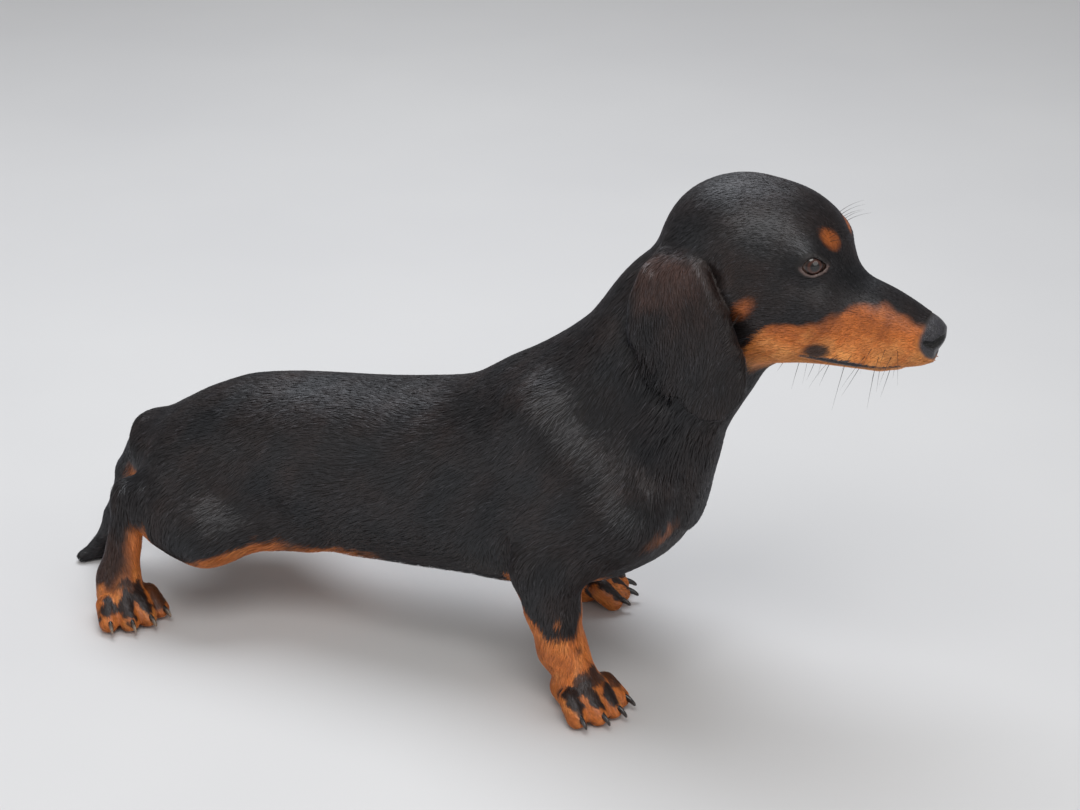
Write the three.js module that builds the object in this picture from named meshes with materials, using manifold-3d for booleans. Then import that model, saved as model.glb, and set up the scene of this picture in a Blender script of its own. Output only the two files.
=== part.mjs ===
// A smooth-haired miniature dachshund, standing, life size.
// The body is one continuous form made of tapered round limbs, rounded masses and
// two lofts (trunk and muzzle), all blended into each other. Its surface is found on
// a fine lattice, thinned where it is plain, and then parted by thin cuts into the
// parts a person would name. Sizes are in centimetres here (x forward, y to the dog's
// left, z up, floor at z = 0) and are turned into millimetres at the end.
import * as THREE from 'three';
import { mergeVertices } from 'three/addons/utils/BufferGeometryUtils.js';
import Module from 'manifold-3d';

// ---------------------------------------------------------------- driving sizes (cm)
const MM_PER_CM = 10;
const ORIGIN = [-3.3815, -0.1457];            // centre of the footprint box, x and y, in the dog's frame
const GAP = 0.03;                      // clearance left between neighbouring parts
const LATTICE = 0.30;                  // lattice step for the body
const EAR_LATTICE = 0.20;               // lattice step for the thin ear leaves
const BODY_TRIANGLES = 2820;           // faces kept on the body before it is parted

// trunk loft: station x, centre z, height above, height below, half width, squareness above / below
const TRUNK = [
  [-22.6,  7.9, 0.95, 2.1, 1.6, 2.0, 2.0],
  [-21.8,  7.9, 1.45, 2.6, 2.3, 2.0, 2.0],
  [-20.2,  8.2, 2.15, 3.1, 3.0, 2.0, 2.0],
  [-18.5,  8.4, 2.95, 3.5, 3.6, 2.0, 2.1],
  [-16.2,  8.5, 3.8, 3.8, 4.1, 2.05, 2.1],
  [-13.0,  8.6, 4.2, 4.5, 4.3, 2.15, 2.1],
  [-10.0,  8.6, 4.5, 4.8, 4.45, 2.15, 2.1],
  [-7.0,   8.7, 4.8, 4.8, 4.6, 2.15, 2.1],
  [-4.0,   8.9, 5.2, 4.9, 4.8, 2.1, 2.1],
  [-1.0,   9.2, 6.1, 5.2, 4.85, 1.95, 2.1],
  [1.5,    9.6, 6.25, 5.5, 4.7, 1.9, 2.1],
  [4.0,    9.8, 5.8, 5.0, 4.35, 1.9, 2.1],
  [5.8,   10.0, 4.5, 4.0, 3.7, 2.0, 2.1],
  [7.1,   10.1, 3.0, 2.9, 2.7, 2.0, 2.0],
  [7.9,   10.2, 1.7, 1.6, 1.5, 2.0, 2.0],
];
// muzzle loft: the same columns, along an axis that falls by MUZZLE_PITCH from MUZZLE_ORIGIN
const MUZZLE_PITCH = -10;
const MUZZLE_ORIGIN = [0, 0, 23.05];
const MUZZLE = [
  [12.185, 0, 2.7, 2.5, 2.3, 2.2, 2.3],
  [14.216, 0, 2.45, 2.3, 2.15, 2.2, 2.5],
  [15.841, 0, 2.1, 1.95, 1.85, 2.2, 2.7],
  [17.262, 0, 1.88, 1.65, 1.6, 2.2, 2.8],
  [18.582, 0, 1.5, 1.5, 1.42, 2.2, 2.7],
  [19.395, 0, 1.15, 1.3, 1.2, 2.2, 2.3],
  [20.004, 0, 0.75, 0.95, 0.85, 2.1, 2.1],
];
// ear leaf: distance down the ear, centre line across it, half width
const EAR_U = [-0.5, 0.6, 2.0, 3.4, 5.0, 6.4, 7.3, 7.9];
const EAR_C = [0.1, -0.15, -0.45, -0.45, -0.25, 0.05, 0.25, 0.3];
const EAR_W = [0.9, 1.55, 2.25, 2.65, 2.6, 2.2, 1.6, 0.7];
const EAR_TOP = [7.7, 3.0, 23.35], EAR_TIP = [9.9, 3.75, 15.8];
// eyes
const EYE_RADIUS = 0.84;
const EYE = [13.87, 1.88, 23.45];        // centre, y for the left eye
// the four legs: joints, centre of the paw on the floor and the way it points (degrees from +x)
const LEGS = {
  fore_right: { s: -1, fore: true, elbow: [1.7, -5.0, 6.9], wrist: [3.1, -5.05, 2.85], paw: [4.35, -5.6, 0], yaw: -26 },
  fore_left:  { s: 1, fore: true, elbow: [-0.6, 4.9, 6.6], wrist: [-0.1, 4.9, 2.75], paw: [0.75, 5.35, 0], yaw: 24 },
  hind_right: { s: -1, fore: false, hip: [-17.9, -2.3, 7.9], knee: [-17.0, -4.3, 5.0], hock: [-21.6, -4.25, 6.6], paw: [-21.3, -5.25, 0], yaw: -36 },
  hind_left:  { s: 1, fore: false, hip: [-17.9, 2.3, 7.9], knee: [-16.9, 4.3, 5.0], hock: [-21.4, 4.25, 6.4], paw: [-20.7, 5.0, 0], yaw: 24 },
};
// toes from the outer one on the right hand side: offset across, offset forward, splay (degrees)
const TOES = [[-1.22, 0.55, -14], [-0.42, 1.02, -5], [0.42, 1.02, 5], [1.22, 0.55, 14]];
const TAIL = [[-21.8, 0, 8.2, 1.3], [-23.5, 0.25, 5.6, 0.92], [-24.8, 0.5, 2.6, 0.66], [-25.8, 0.25, 0.6, 0.5], [-26.5, -0.6, 0.28, 0.34]];
const CLAW_LENGTH = 0.95, CLAW_ROOT = 0.19, CLAW_TIP = 0.07;

// ---------------------------------------------------------------- small vector helpers
const add = (a, b) => [a[0] + b[0], a[1] + b[1], a[2] + b[2]];
const sub = (a, b) => [a[0] - b[0], a[1] - b[1], a[2] - b[2]];
const mul = (a, k) => [a[0] * k, a[1] * k, a[2] * k];
const dot = (a, b) => a[0] * b[0] + a[1] * b[1] + a[2] * b[2];
const len = (a) => Math.sqrt(dot(a, a));
const unit = (a) => mul(a, 1 / len(a));
const cross = (a, b) => [a[1] * b[2] - a[2] * b[1], a[2] * b[0] - a[0] * b[2], a[0] * b[1] - a[1] * b[0]];
const mix = (a, b, t) => add(mul(a, 1 - t), mul(b, t));
const clamp = (x, a, b) => Math.min(Math.max(x, a), b);
const rad = (d) => d * Math.PI / 180;

// ---------------------------------------------------------------- blending and shapes (signed distance, minus inside)
function smin(a, b, k) {
  const h = Math.max(k - Math.abs(a - b), 0) / k;
  return Math.min(a, b) - h * h * k * 0.25;
}
// a tapered round limb from a to b; flat = [axis, factor] widens or narrows it along that axis
function cone(a, b, r1, r2, flat) {
  const ba = sub(b, a), l2 = dot(ba, ba), rr = r1 - r2, a2 = l2 - rr * rr, il2 = 1 / l2;
  let n = null, f = 1, scale = 1;
  if (flat) {
    const ax = unit(ba); n = unit(flat[0]); n = unit(sub(n, mul(ax, dot(n, ax)))); f = flat[1];
    scale = 0.5 + 0.5 * Math.min(f, 1 / f);
  }
  const sg = Math.sign(rr) * rr * rr;
  return (x, y, z) => {
    let px = x - a[0], py = y - a[1], pz = z - a[2];
    if (n) { const q = (px * n[0] + py * n[1] + pz * n[2]) * (1 / f - 1); px += n[0] * q; py += n[1] * q; pz += n[2] * q; }
    const yy = px * ba[0] + py * ba[1] + pz * ba[2], zz = yy - l2;
    const vx = px * l2 - ba[0] * yy, vy = py * l2 - ba[1] * yy, vz = pz * l2 - ba[2] * yy;
    const x2 = vx * vx + vy * vy + vz * vz, y2 = yy * yy * l2, z2 = zz * zz * l2, k = sg * x2;
    let d;
    if (Math.sign(zz) * a2 * z2 > k) d = Math.sqrt(x2 + z2) * il2 - r2;
    else if (Math.sign(yy) * a2 * y2 < k) d = Math.sqrt(x2 + y2) * il2 - r1;
    else d = (Math.sqrt(Math.max(x2 * a2 * il2, 0)) + yy * rr) * il2 - r1;
    return d * scale;
  };
}
// rotation of local axes, columns forward / left / up: yaw, then pitch with the nose up positive
function axes(yaw = 0, pitch = 0) {
  const y = rad(yaw), p = rad(pitch), cy = Math.cos(y), sy = Math.sin(y), cp = Math.cos(p), sp = Math.sin(p);
  return [[cy * cp, sy * cp, sp], [-sy, cy, 0], [-cy * sp, -sy * sp, cp]];
}
// a rounded mass: an ellipsoid with half sizes r along its own axes
function mass(c, r, ax = axes()) {
  return (x, y, z) => {
    const p = [x - c[0], y - c[1], z - c[2]];
    const u = dot(p, ax[0]) / r[0], v = dot(p, ax[1]) / r[1], w = dot(p, ax[2]) / r[2];
    const k0 = Math.sqrt(u * u + v * v + w * w);
    const k1 = Math.sqrt((u / r[0]) ** 2 + (v / r[1]) ** 2 + (w / r[2]) ** 2) + 1e-9;
    return k0 * (k0 - 1) / k1;
  };
}
// smooth monotone curve through stations, flat beyond its ends
function curve(xs, ys) {
  const n = xs.length, h = [], d = [], m = new Array(n);
  for (let i = 0; i < n - 1; i++) { h.push(xs[i + 1] - xs[i]); d.push((ys[i + 1] - ys[i]) / h[i]); }
  m[0] = d[0]; m[n - 1] = d[n - 2];
  for (let i = 1; i < n - 1; i++) {
    if (d[i - 1] * d[i] > 0) { const w1 = 2 * h[i] + h[i - 1], w2 = h[i] + 2 * h[i - 1]; m[i] = (w1 + w2) / (w1 / d[i - 1] + w2 / d[i]); } else m[i] = 0;
  }
  return (x) => {
    x = clamp(x, xs[0], xs[n - 1]);
    let i = 0; while (i < n - 2 && x >= xs[i + 1]) i++;
    const t = (x - xs[i]) / h[i], t2 = t * t, t3 = t2 * t;
    return (2 * t3 - 3 * t2 + 1) * ys[i] + (t3 - 2 * t2 + t) * h[i] * m[i] + (-2 * t3 + 3 * t2) * ys[i + 1] + (t3 - t2) * h[i] * m[i + 1];
  };
}
// a body swept along a straight axis, with a rounded-square section that changes from station to station
function loft(origin, pitch, rows) {
  const s0 = rows[0][0], s1 = rows[rows.length - 1][0], col = (i) => curve(rows.map((r) => r[0]), rows.map((r) => r[i]));
  const C = col(1), U = col(2), D = col(3), W = col(4), NU = col(5), ND = col(6), ca = Math.cos(rad(pitch)), sa = Math.sin(rad(pitch));
  return (x, y, z) => {
    const px = x - origin[0], pz = z - origin[2], py = Math.abs(y - origin[1]);
    const s = px * ca + pz * sa, t = -px * sa + pz * ca - C(s);
    const h = t > 0 ? U(s) : D(s), n = t > 0 ? NU(s) : ND(s);
    const r = Math.hypot(py, t) + 1e-9, rho = (Math.pow(py / W(s), n) + Math.pow(Math.abs(t) / h, n)) ** (1 / n) + 1e-9;
    const d = r - r / rho, ds = Math.max(s0 - s, s - s1);
    return ds > 0 ? Math.sqrt(Math.max(d, 0) ** 2 + ds * ds) : d;
  };
}
// joins a list of [shape, blend] one after another
function blend(list) {
  return (x, y, z) => {
    let d = list[0][0](x, y, z);
    for (let i = 1; i < list.length; i++) d = smin(d, list[i][0](x, y, z), list[i][1]);
    return d;
  };
}

// ---------------------------------------------------------------- the dog
const ACROSS = [0, 1, 0];
const neckShape = blend([
  [cone([2.4, 0, 11.6], [7.6, 0, 18.8], 4.7, 3.6, [ACROSS, 0.88])],
  [cone([7.6, 0, 18.8], [9.8, 0, 21.7], 3.6, 3.25, [ACROSS, 0.9]), 1.5],
  [cone([9.1, 0, 17.5], [5.5, 0, 10.4], 1.4, 2.3, [ACROSS, 1.15]), 2.4],
]);
const headShape = (() => {
  const l = [[mass([10.6, 0, 22.95], [4.3, 3.25, 3.65], axes(0, -8))], [mass([12.45, 0, 22.8], [2.7, 2.5, 3.05], axes(0, -20)), 1.2]];
  for (const s of [-1, 1]) {
    l.push([mass([13.35, s * 1.22, 23.3], [1.55, 1.05, 1.35], axes(s * 12, -35)), 1.0]);   // brow
    l.push([mass([11.6, s * 1.95, 20.6], [2.6, 1.25, 2.3], axes(-s * 10, -20)), 1.6]);      // cheek
    l.push([cone([14.2, s * 1.75, 21.4], [10.6, s * 2.75, 21.6], 0.7, 0.75), 1.1]);         // cheek arch
  }
  l.push([loft(MUZZLE_ORIGIN, MUZZLE_PITCH, MUZZLE), 1.3]);
  l.push([mass([19.25, 0, 20.0], [0.78, 0.98, 0.78], axes(0, -20)), 0.45]);                 // nose leather
  l.push([cone([11.6, 0, 19.2], [17.7, 0, 18.6], 1.55, 0.62, [ACROSS, 1.0]), 0.5]);         // lower jaw
  for (const s of [-1, 1]) l.push([cone([11.3, s * 1.7, 19.6], [17.0, s * 0.55, 18.7], 1.0, 0.55), 0.7]);
  return blend(l);
})();
function pawFrame(leg) {
  const y = rad(leg.yaw), f = [Math.cos(y), Math.sin(y), 0], l = [-Math.sin(y), Math.cos(y), 0];
  const toes = TOES.map(([side, fw, splay]) => {
    const b = rad(leg.yaw + splay), g = [Math.cos(b), Math.sin(b), 0];
    const knuckle = add(add(add(leg.paw, mul(l, side * 0.95)), mul(f, fw - 0.15)), [0, 0, 1.12]);
    const tip = add(add(add(add(leg.paw, mul(l, side * 1.05)), mul(f, fw)), mul(g, 0.62)), [0, 0, 0.5]);
    return { knuckle, tip, g };
  });
  return { f, l, toes };
}
function pawParts(leg, ankle) {
  const { f, toes } = pawFrame(leg), c = leg.paw, l = [];
  l.push([cone(ankle, add(add(c, [0, 0, 1.35]), mul(f, 0.1)), 1.08, 0.98), 0.7]);
  l.push([mass(add(add(c, [0, 0, 0.95]), mul(f, -0.35)), [1.5, 1.25, 0.85], axes(leg.yaw)), 0.6]);
  l.push([mass(add(add(c, [0, 0, 0.42]), mul(f, -0.35)), [0.95, 0.95, 0.52], axes(leg.yaw)), 0.3]);
  for (const t of toes) l.push([cone(t.knuckle, t.tip, 0.62, 0.56), 0.28]);
  if (leg.fore) l.push([cone(add(add(ankle, mul(f, -0.95)), [0, 0, -0.25]), add(add(ankle, mul(f, -1.12)), [0, 0, -0.4]), 0.34, 0.3), 0.3]);
  return l;
}
function foreleg(leg) {
  const { s, elbow: e, wrist: w } = leg, shoulder = [5.3, s * 3.5, 9.6], mid = add(mix(e, w, 0.45), [0.25, 0, 0]);
  return blend([
    [cone(shoulder, add(e, [0.4, 0, 0.2]), 2.15, 1.55)],
    [mass([2.6, s * 4.0, 9.0], [2.6, 1.5, 2.9], axes(0, -50)), 1.5],
    [cone(e, add(e, [-0.1, 0, 0.1]), 0.95, 0.9), 0.9],
    [cone(add(e, [0.6, 0, -0.1]), mid, 1.5, 1.37), 0.9],
    [cone(mid, w, 1.36, 1.17), 0.6],
    ...pawParts(leg, w),
  ]);
}
function hindleg(leg) {
  const { s, hip, knee, hock, paw } = leg, y = rad(leg.yaw);
  const ankle = add(paw, [-0.6 * Math.cos(y), -0.6 * Math.sin(y), 1.9]);
  return blend([
    [cone(hip, add(knee, [0.3, 0, 0.5]), 2.55, 1.7, [ACROSS, 0.85])],
    [mass(add(mix(hip, knee, 0.5), [-1.3, 0, -0.2]), [2.5, 1.55, 2.5], axes(0, -8)), 1.6],
    [cone(add(knee, [0, 0, 0.3]), add(knee, [-1.9, 0, 0.6]), 1.4, 1.35), 1.2],
    [cone(add(knee, [0.6, 0, 0.5]), [-11.5, s * 3.2, 5.6], 1.3, 1.0, [ACROSS, 0.7]), 1.8],
    [cone(add(knee, [-1.2, -s * 0.1, 0.7]), add(hock, [0.45, 0, 0]), 1.35, 0.85), 1.2],
    [cone(add(hock, [0.1, 0, 0.1]), add(hock, [0.25, 0, -0.5]), 0.62, 0.85), 0.5],
    [cone(add(hock, [0.45, 0, -0.6]), ankle, 0.95, 0.98), 0.5],
    ...pawParts(leg, ankle),
  ]);
}
const tailShape = blend(TAIL.slice(1).map((b, i) => [cone(TAIL[i].slice(0, 3), b.slice(0, 3), TAIL[i][3], b[3]), 0.5]));
const bodyShape = blend([
  [loft([0, 0, 0], 0, TRUNK)], [neckShape, 3.0], [headShape, 1.2],
  [cone([1.3, -3.0, 14.0], [5.6, -3.55, 9.8], 1.7, 1.9), 2.0], [cone([1.3, 3.0, 14.0], [5.6, 3.55, 9.8], 1.7, 1.9), 2.0],
  [foreleg(LEGS.fore_right), 0.9], [foreleg(LEGS.fore_left), 0.9],
  [hindleg(LEGS.hind_right), 1.2], [hindleg(LEGS.hind_left), 1.2],
  [tailShape, 0.8],
]);
function earShape(s) {
  const top = [EAR_TOP[0], s * EAR_TOP[1], EAR_TOP[2]], tip = [EAR_TIP[0], s * EAR_TIP[1], EAR_TIP[2]];
  const ax = unit(sub(tip, top)); let fwd = [1, s * 0.14, 0]; fwd = unit(sub(fwd, mul(ax, dot(fwd, ax))));
  let out = cross(ax, fwd); if (out[1] * s < 0) out = mul(out, -1);
  const C = curve(EAR_U, EAR_C), W = curve(EAR_U, EAR_W), T = curve([-1, 0, 2, 5, 8], [0.5, 0.48, 0.38, 0.32, 0.26]);
  const roll = cone(add(add(add(top, mul(ax, 0.6)), mul(fwd, -1.35)), mul(out, 0.1)), add(add(add(top, mul(ax, 3.6)), mul(fwd, -2.9)), mul(out, -0.05)), 0.42, 0.36);
  return (x, y, z) => {
    const p = sub([x, y, z], top), u = dot(p, ax), vv = dot(p, fwd) - C(u), w = dot(p, out), uc = clamp(u, 0, 8);
    const bow = 0.15 + 0.38 * Math.sin(clamp(uc / 5.5, 0, 1) * Math.PI) - 0.07 * vv * vv - 1.5 * Math.exp(-Math.max(u + 0.5, 0) * 1.6);
    const edge = Math.max(Math.abs(vv) - W(u) + 0.25, 0), end = Math.max(-0.5 - u, u - 7.85, 0);
    const d = Math.sqrt(edge * edge + (w - bow) * (w - bow) + end * end) - T(u);
    return smin(d, roll(x, y, z), 0.5) * 0.85;
  };
}

// ---------------------------------------------------------------- surface of a shape on a lattice
function surface(field, lo, hi, step) {
  const N = [0, 1, 2].map((i) => Math.ceil((hi[i] - lo[i]) / step) + 1), B = 8, at = (i, j, k) => (k * N[1] + j) * N[0] + i;
  const V = new Float32Array(N[0] * N[1] * N[2]).fill(1e3);
  for (let bk = 0; bk < N[2]; bk += B) for (let bj = 0; bj < N[1]; bj += B) for (let bi = 0; bi < N[0]; bi += B) {
    const c = field(lo[0] + (bi + B / 2) * step, lo[1] + (bj + B / 2) * step, lo[2] + (bk + B / 2) * step);
    const near = Math.abs(c) < B * step * 0.8661 * 1.6;
    for (let k = bk; k < Math.min(bk + B, N[2]); k++) for (let j = bj; j < Math.min(bj + B, N[1]); j++) for (let i = bi; i < Math.min(bi + B, N[0]); i++) {
      V[at(i, j, k)] = near ? field(lo[0] + i * step, lo[1] + j * step, lo[2] + k * step) : (c < 0 ? -1e3 : 1e3);
    }
  }
  // the outermost layer is outside, so the surface always closes
  for (let k = 0; k < N[2]; k++) for (let j = 0; j < N[1]; j++) for (let i = 0; i < N[0]; i++)
    if (i === 0 || j === 0 || k === 0 || i === N[0] - 1 || j === N[1] - 1 || k === N[2] - 1) V[at(i, j, k)] = Math.max(V[at(i, j, k)], step * 0.5);
  const id = new Int32Array(V.length).fill(-1), P = [], F = [];
  const corner = [[0, 0, 0], [1, 0, 0], [0, 1, 0], [1, 1, 0], [0, 0, 1], [1, 0, 1], [0, 1, 1], [1, 1, 1]];
  const edges = [[0, 1], [2, 3], [4, 5], [6, 7], [0, 2], [1, 3], [4, 6], [5, 7], [0, 4], [1, 5], [2, 6], [3, 7]];
  for (let k = 0; k < N[2] - 1; k++) for (let j = 0; j < N[1] - 1; j++) for (let i = 0; i < N[0] - 1; i++) {
    let n = 0, s = [0, 0, 0];
    for (const [a, b] of edges) {
      const A = corner[a], C = corner[b], va = V[at(i + A[0], j + A[1], k + A[2])], vb = V[at(i + C[0], j + C[1], k + C[2])];
      if ((va < 0) === (vb < 0)) continue;
      const t = va / (va - vb); n++;
      for (let m = 0; m < 3; m++) s[m] += A[m] + (C[m] - A[m]) * t;
    }
    if (!n) continue;
    let p = [lo[0] + (i + s[0] / n) * step, lo[1] + (j + s[1] / n) * step, lo[2] + (k + s[2] / n) * step];
    const e = 0.05, d = field(...p), g = [0, 1, 2].map((m) => { const a = p.slice(), b = p.slice(); a[m] += e; b[m] -= e; return (field(...a) - field(...b)) / (2 * e); });
    const g2 = dot(g, g) + 1e-6; let mv = mul(g, -d / g2); const l = len(mv); if (l > step * 0.5) mv = mul(mv, step * 0.5 / l);
    id[at(i, j, k)] = P.length; P.push(add(p, mv));
  }
  const quad = (a, b, c, d, flip) => { if (a < 0 || b < 0 || c < 0 || d < 0) return; if (flip) F.push([a, c, b], [a, d, c]); else F.push([a, b, c], [a, c, d]); };
  for (let k = 0; k < N[2] - 1; k++) for (let j = 0; j < N[1] - 1; j++) for (let i = 0; i < N[0] - 1; i++) {
    const v = V[at(i, j, k)] < 0;
    if (j && k && v !== (V[at(i + 1, j, k)] < 0)) quad(id[at(i, j - 1, k - 1)], id[at(i, j, k - 1)], id[at(i, j, k)], id[at(i, j - 1, k)], !v);
    if (i && k && v !== (V[at(i, j + 1, k)] < 0)) quad(id[at(i - 1, j, k - 1)], id[at(i - 1, j, k)], id[at(i, j, k)], id[at(i, j, k - 1)], !v);
    if (i && j && v !== (V[at(i, j, k + 1)] < 0)) quad(id[at(i - 1, j - 1, k)], id[at(i, j - 1, k)], id[at(i, j, k)], id[at(i - 1, j, k)], !v);
  }
  return { P, F };
}

// ---------------------------------------------------------------- thinning: edges that carry least shape go first
function thin({ P, F }, target, weight) {
  const Q = P.map(() => new Float64Array(10)), VF = P.map(() => new Set()), alive = F.map(() => true);
  const normal = (a, b, c) => cross(sub(P[b], P[a]), sub(P[c], P[a]));
  F.forEach((f, i) => {
    const n0 = normal(...f), l = len(n0); if (l < 1e-12) { f.forEach((v) => VF[v].add(i)); return; }
    const n = mul(n0, 1 / l), d = -dot(n, P[f[0]]), w = l * 0.5, q = [n[0] * n[0], n[0] * n[1], n[0] * n[2], n[0] * d, n[1] * n[1], n[1] * n[2], n[1] * d, n[2] * n[2], n[2] * d, d * d];
    for (const v of f) { VF[v].add(i); for (let k = 0; k < 10; k++) Q[v][k] += q[k] * w; }
  });
  const err = (q, p) => q[0] * p[0] * p[0] + 2 * q[1] * p[0] * p[1] + 2 * q[2] * p[0] * p[2] + 2 * q[3] * p[0] + q[4] * p[1] * p[1] + 2 * q[5] * p[1] * p[2] + 2 * q[6] * p[1] + q[7] * p[2] * p[2] + 2 * q[8] * p[2] + q[9];
  const best = (a, b) => {
    const q = new Float64Array(10); for (let k = 0; k < 10; k++) q[k] = Q[a][k] + Q[b][k];
    const m = mul(add(P[a], P[b]), 0.5), e = 1e-4 * (q[0] + q[4] + q[7]) + 1e-9;
    // least-squares place, held a little towards the middle of the edge
    const A = [q[0] + e, q[1], q[2], q[4] + e, q[5], q[7] + e], r = [-q[3] + e * m[0], -q[6] + e * m[1], -q[8] + e * m[2]];
    const c00 = A[3] * A[5] - A[4] * A[4], c01 = A[2] * A[4] - A[1] * A[5], c02 = A[1] * A[4] - A[2] * A[3], det = A[0] * c00 + A[1] * c01 + A[2] * c02;
    let p = m;
    if (Math.abs(det) > 1e-18) {
      const c11 = A[0] * A[5] - A[2] * A[2], c12 = A[1] * A[2] - A[0] * A[4], c22 = A[0] * A[3] - A[1] * A[1];
      p = [(c00 * r[0] + c01 * r[1] + c02 * r[2]) / det, (c01 * r[0] + c11 * r[1] + c12 * r[2]) / det, (c02 * r[0] + c12 * r[1] + c22 * r[2]) / det];
      if (len(sub(p, m)) > len(sub(P[a], P[b]))) p = m;
    }
    const L = len(sub(P[a], P[b]));
    return { p, c: (Math.max(err(q, p), 0) + 1e-5 * L ** 4) * weight(m) };
  };
  const stamp = P.map(() => 0), heap = [];
  const up = (i) => { while (i > 0) { const j = (i - 1) >> 1; if (heap[j].c <= heap[i].c) break; [heap[i], heap[j]] = [heap[j], heap[i]]; i = j; } };
  const pop = () => {
    const t = heap[0], l = heap.pop(); if (heap.length) { heap[0] = l; let i = 0; for (;;) { let j = 2 * i + 1; if (j >= heap.length) break; if (j + 1 < heap.length && heap[j + 1].c < heap[j].c) j++; if (heap[i].c <= heap[j].c) break; [heap[i], heap[j]] = [heap[j], heap[i]]; i = j; } }
    return t;
  };
  const push = (a, b) => { const { p, c } = best(a, b); heap.push({ a, b, p, c, sa: stamp[a], sb: stamp[b] }); up(heap.length - 1); };
  const around = (v) => { const s = new Set(); for (const f of VF[v]) for (const u of F[f]) if (u !== v) s.add(u); return s; };
  for (let v = 0; v < P.length; v++) for (const u of around(v)) if (u > v) push(v, u);
  let count = F.length;
  while (count > target && heap.length) {
    const h = pop(); if (h.sa !== stamp[h.a] || h.sb !== stamp[h.b]) continue;
    const { a, b, p } = h, na = around(a), nb = around(b); let common = 0; for (const u of na) if (nb.has(u)) common++;
    if (common !== 2) continue;
    let ok = true;
    for (const [v, o] of [[a, b], [b, a]]) for (const f of VF[v]) {
      const t = F[f]; if (t.includes(o)) continue;
      const n0 = normal(...t), old = P[v]; P[v] = p; const n1 = normal(...t), e = [len(sub(P[t[0]], P[t[1]])), len(sub(P[t[1]], P[t[2]])), len(sub(P[t[2]], P[t[0]]))]; P[v] = old;
      if (dot(n0, n1) < 0.35 * len(n0) * len(n1) || len(n1) < 0.06 * Math.max(...e) ** 2) { ok = false; break; }
    }
    if (!ok) continue;
    for (const f of [...VF[b]]) {
      if (F[f].includes(a)) { alive[f] = false; count--; for (const v of F[f]) VF[v].delete(f); } else { F[f] = F[f].map((v) => (v === b ? a : v)); VF[a].add(f); }
    }
    VF[b].clear(); P[a] = p; for (let k = 0; k < 10; k++) Q[a][k] += Q[b][k]; stamp[a]++; stamp[b]++;
    for (const u of around(a)) { push(a, u); }
  }
  return { P, F: F.filter((_, i) => alive[i]) };
}

// ---------------------------------------------------------------- closed meshes to solids and back
const wasm = await Module(); wasm.setup();
function solid({ P, F }) {
  return new wasm.Manifold(new wasm.Mesh({ numProp: 3, vertProperties: new Float32Array(P.flat()), triVerts: new Uint32Array(F.flat()) }));
}
function fromGeometry(g) {
  const q = g.clone(); q.deleteAttribute('normal'); q.deleteAttribute('uv'); const m = mergeVertices(q, 1e-5), p = m.attributes.position.array, ix = m.index.array, P = [], F = [];
  for (let i = 0; i < p.length; i += 3) P.push([p[i], p[i + 1], p[i + 2]]);
  for (let i = 0; i < ix.length; i += 3) F.push([ix[i], ix[i + 1], ix[i + 2]]);
  return { P, F };
}
// a box from its lowest and highest corners, grown by g on every side; then tilted about the cross axis through a point
function block(lo, hi, g = 0, tilt = 0, about = [0, 0, 0]) {
  const b = new THREE.BoxGeometry(hi[0] - lo[0] + 2 * g, hi[1] - lo[1] + 2 * g, hi[2] - lo[2] + 2 * g);
  b.translate((hi[0] + lo[0]) / 2, (hi[1] + lo[1]) / 2, (hi[2] + lo[2]) / 2);
  if (tilt) { b.translate(-about[0], -about[1], -about[2]); b.rotateY(-rad(tilt)); b.translate(...about); }
  return solid(fromGeometry(b));
}
// the same closed mesh with every point moved outwards by g
function grown({ P, F }, g) {
  const N = P.map(() => [0, 0, 0]);
  F.forEach(([a, b, c]) => { const n = cross(sub(P[b], P[a]), sub(P[c], P[a])); for (const v of [a, b, c]) N[v] = add(N[v], n); });
  return { P: P.map((p, i) => (len(N[i]) > 0 ? add(p, mul(unit(N[i]), g)) : p)), F };
}
// the largest connected piece of a solid, as lists of points and faces
function largest(m) {
  const g = m.getMesh(), n = g.numProp, P = [], F = [];
  for (let i = 0; i < g.vertProperties.length; i += n) P.push([g.vertProperties[i], g.vertProperties[i + 1], g.vertProperties[i + 2]]);
  for (let i = 0; i < g.triVerts.length; i += 3) F.push([g.triVerts[i], g.triVerts[i + 1], g.triVerts[i + 2]]);
  const root = P.map((_, i) => i), find = (i) => { while (root[i] !== i) { root[i] = root[root[i]]; i = root[i]; } return i; };
  F.forEach(([a, b, c]) => { root[find(a)] = find(b); root[find(b)] = find(c); });
  const vol = new Map(); F.forEach(([a, b, c]) => { const r = find(a); vol.set(r, (vol.get(r) || 0) + dot(P[a], cross(P[b], P[c]))); });
  let r0 = -1, v0 = -1; vol.forEach((v, r) => { if (v > v0) { v0 = v; r0 = r; } });
  const keep = F.filter((f) => find(f[0]) === r0), map = new Map(), P2 = [];
  const F2 = keep.map((f) => f.map((v) => { if (!map.has(v)) { map.set(v, P2.length); P2.push(P[v]); } return map.get(v); }));
  return { P: P2, F: F2 };
}

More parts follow.
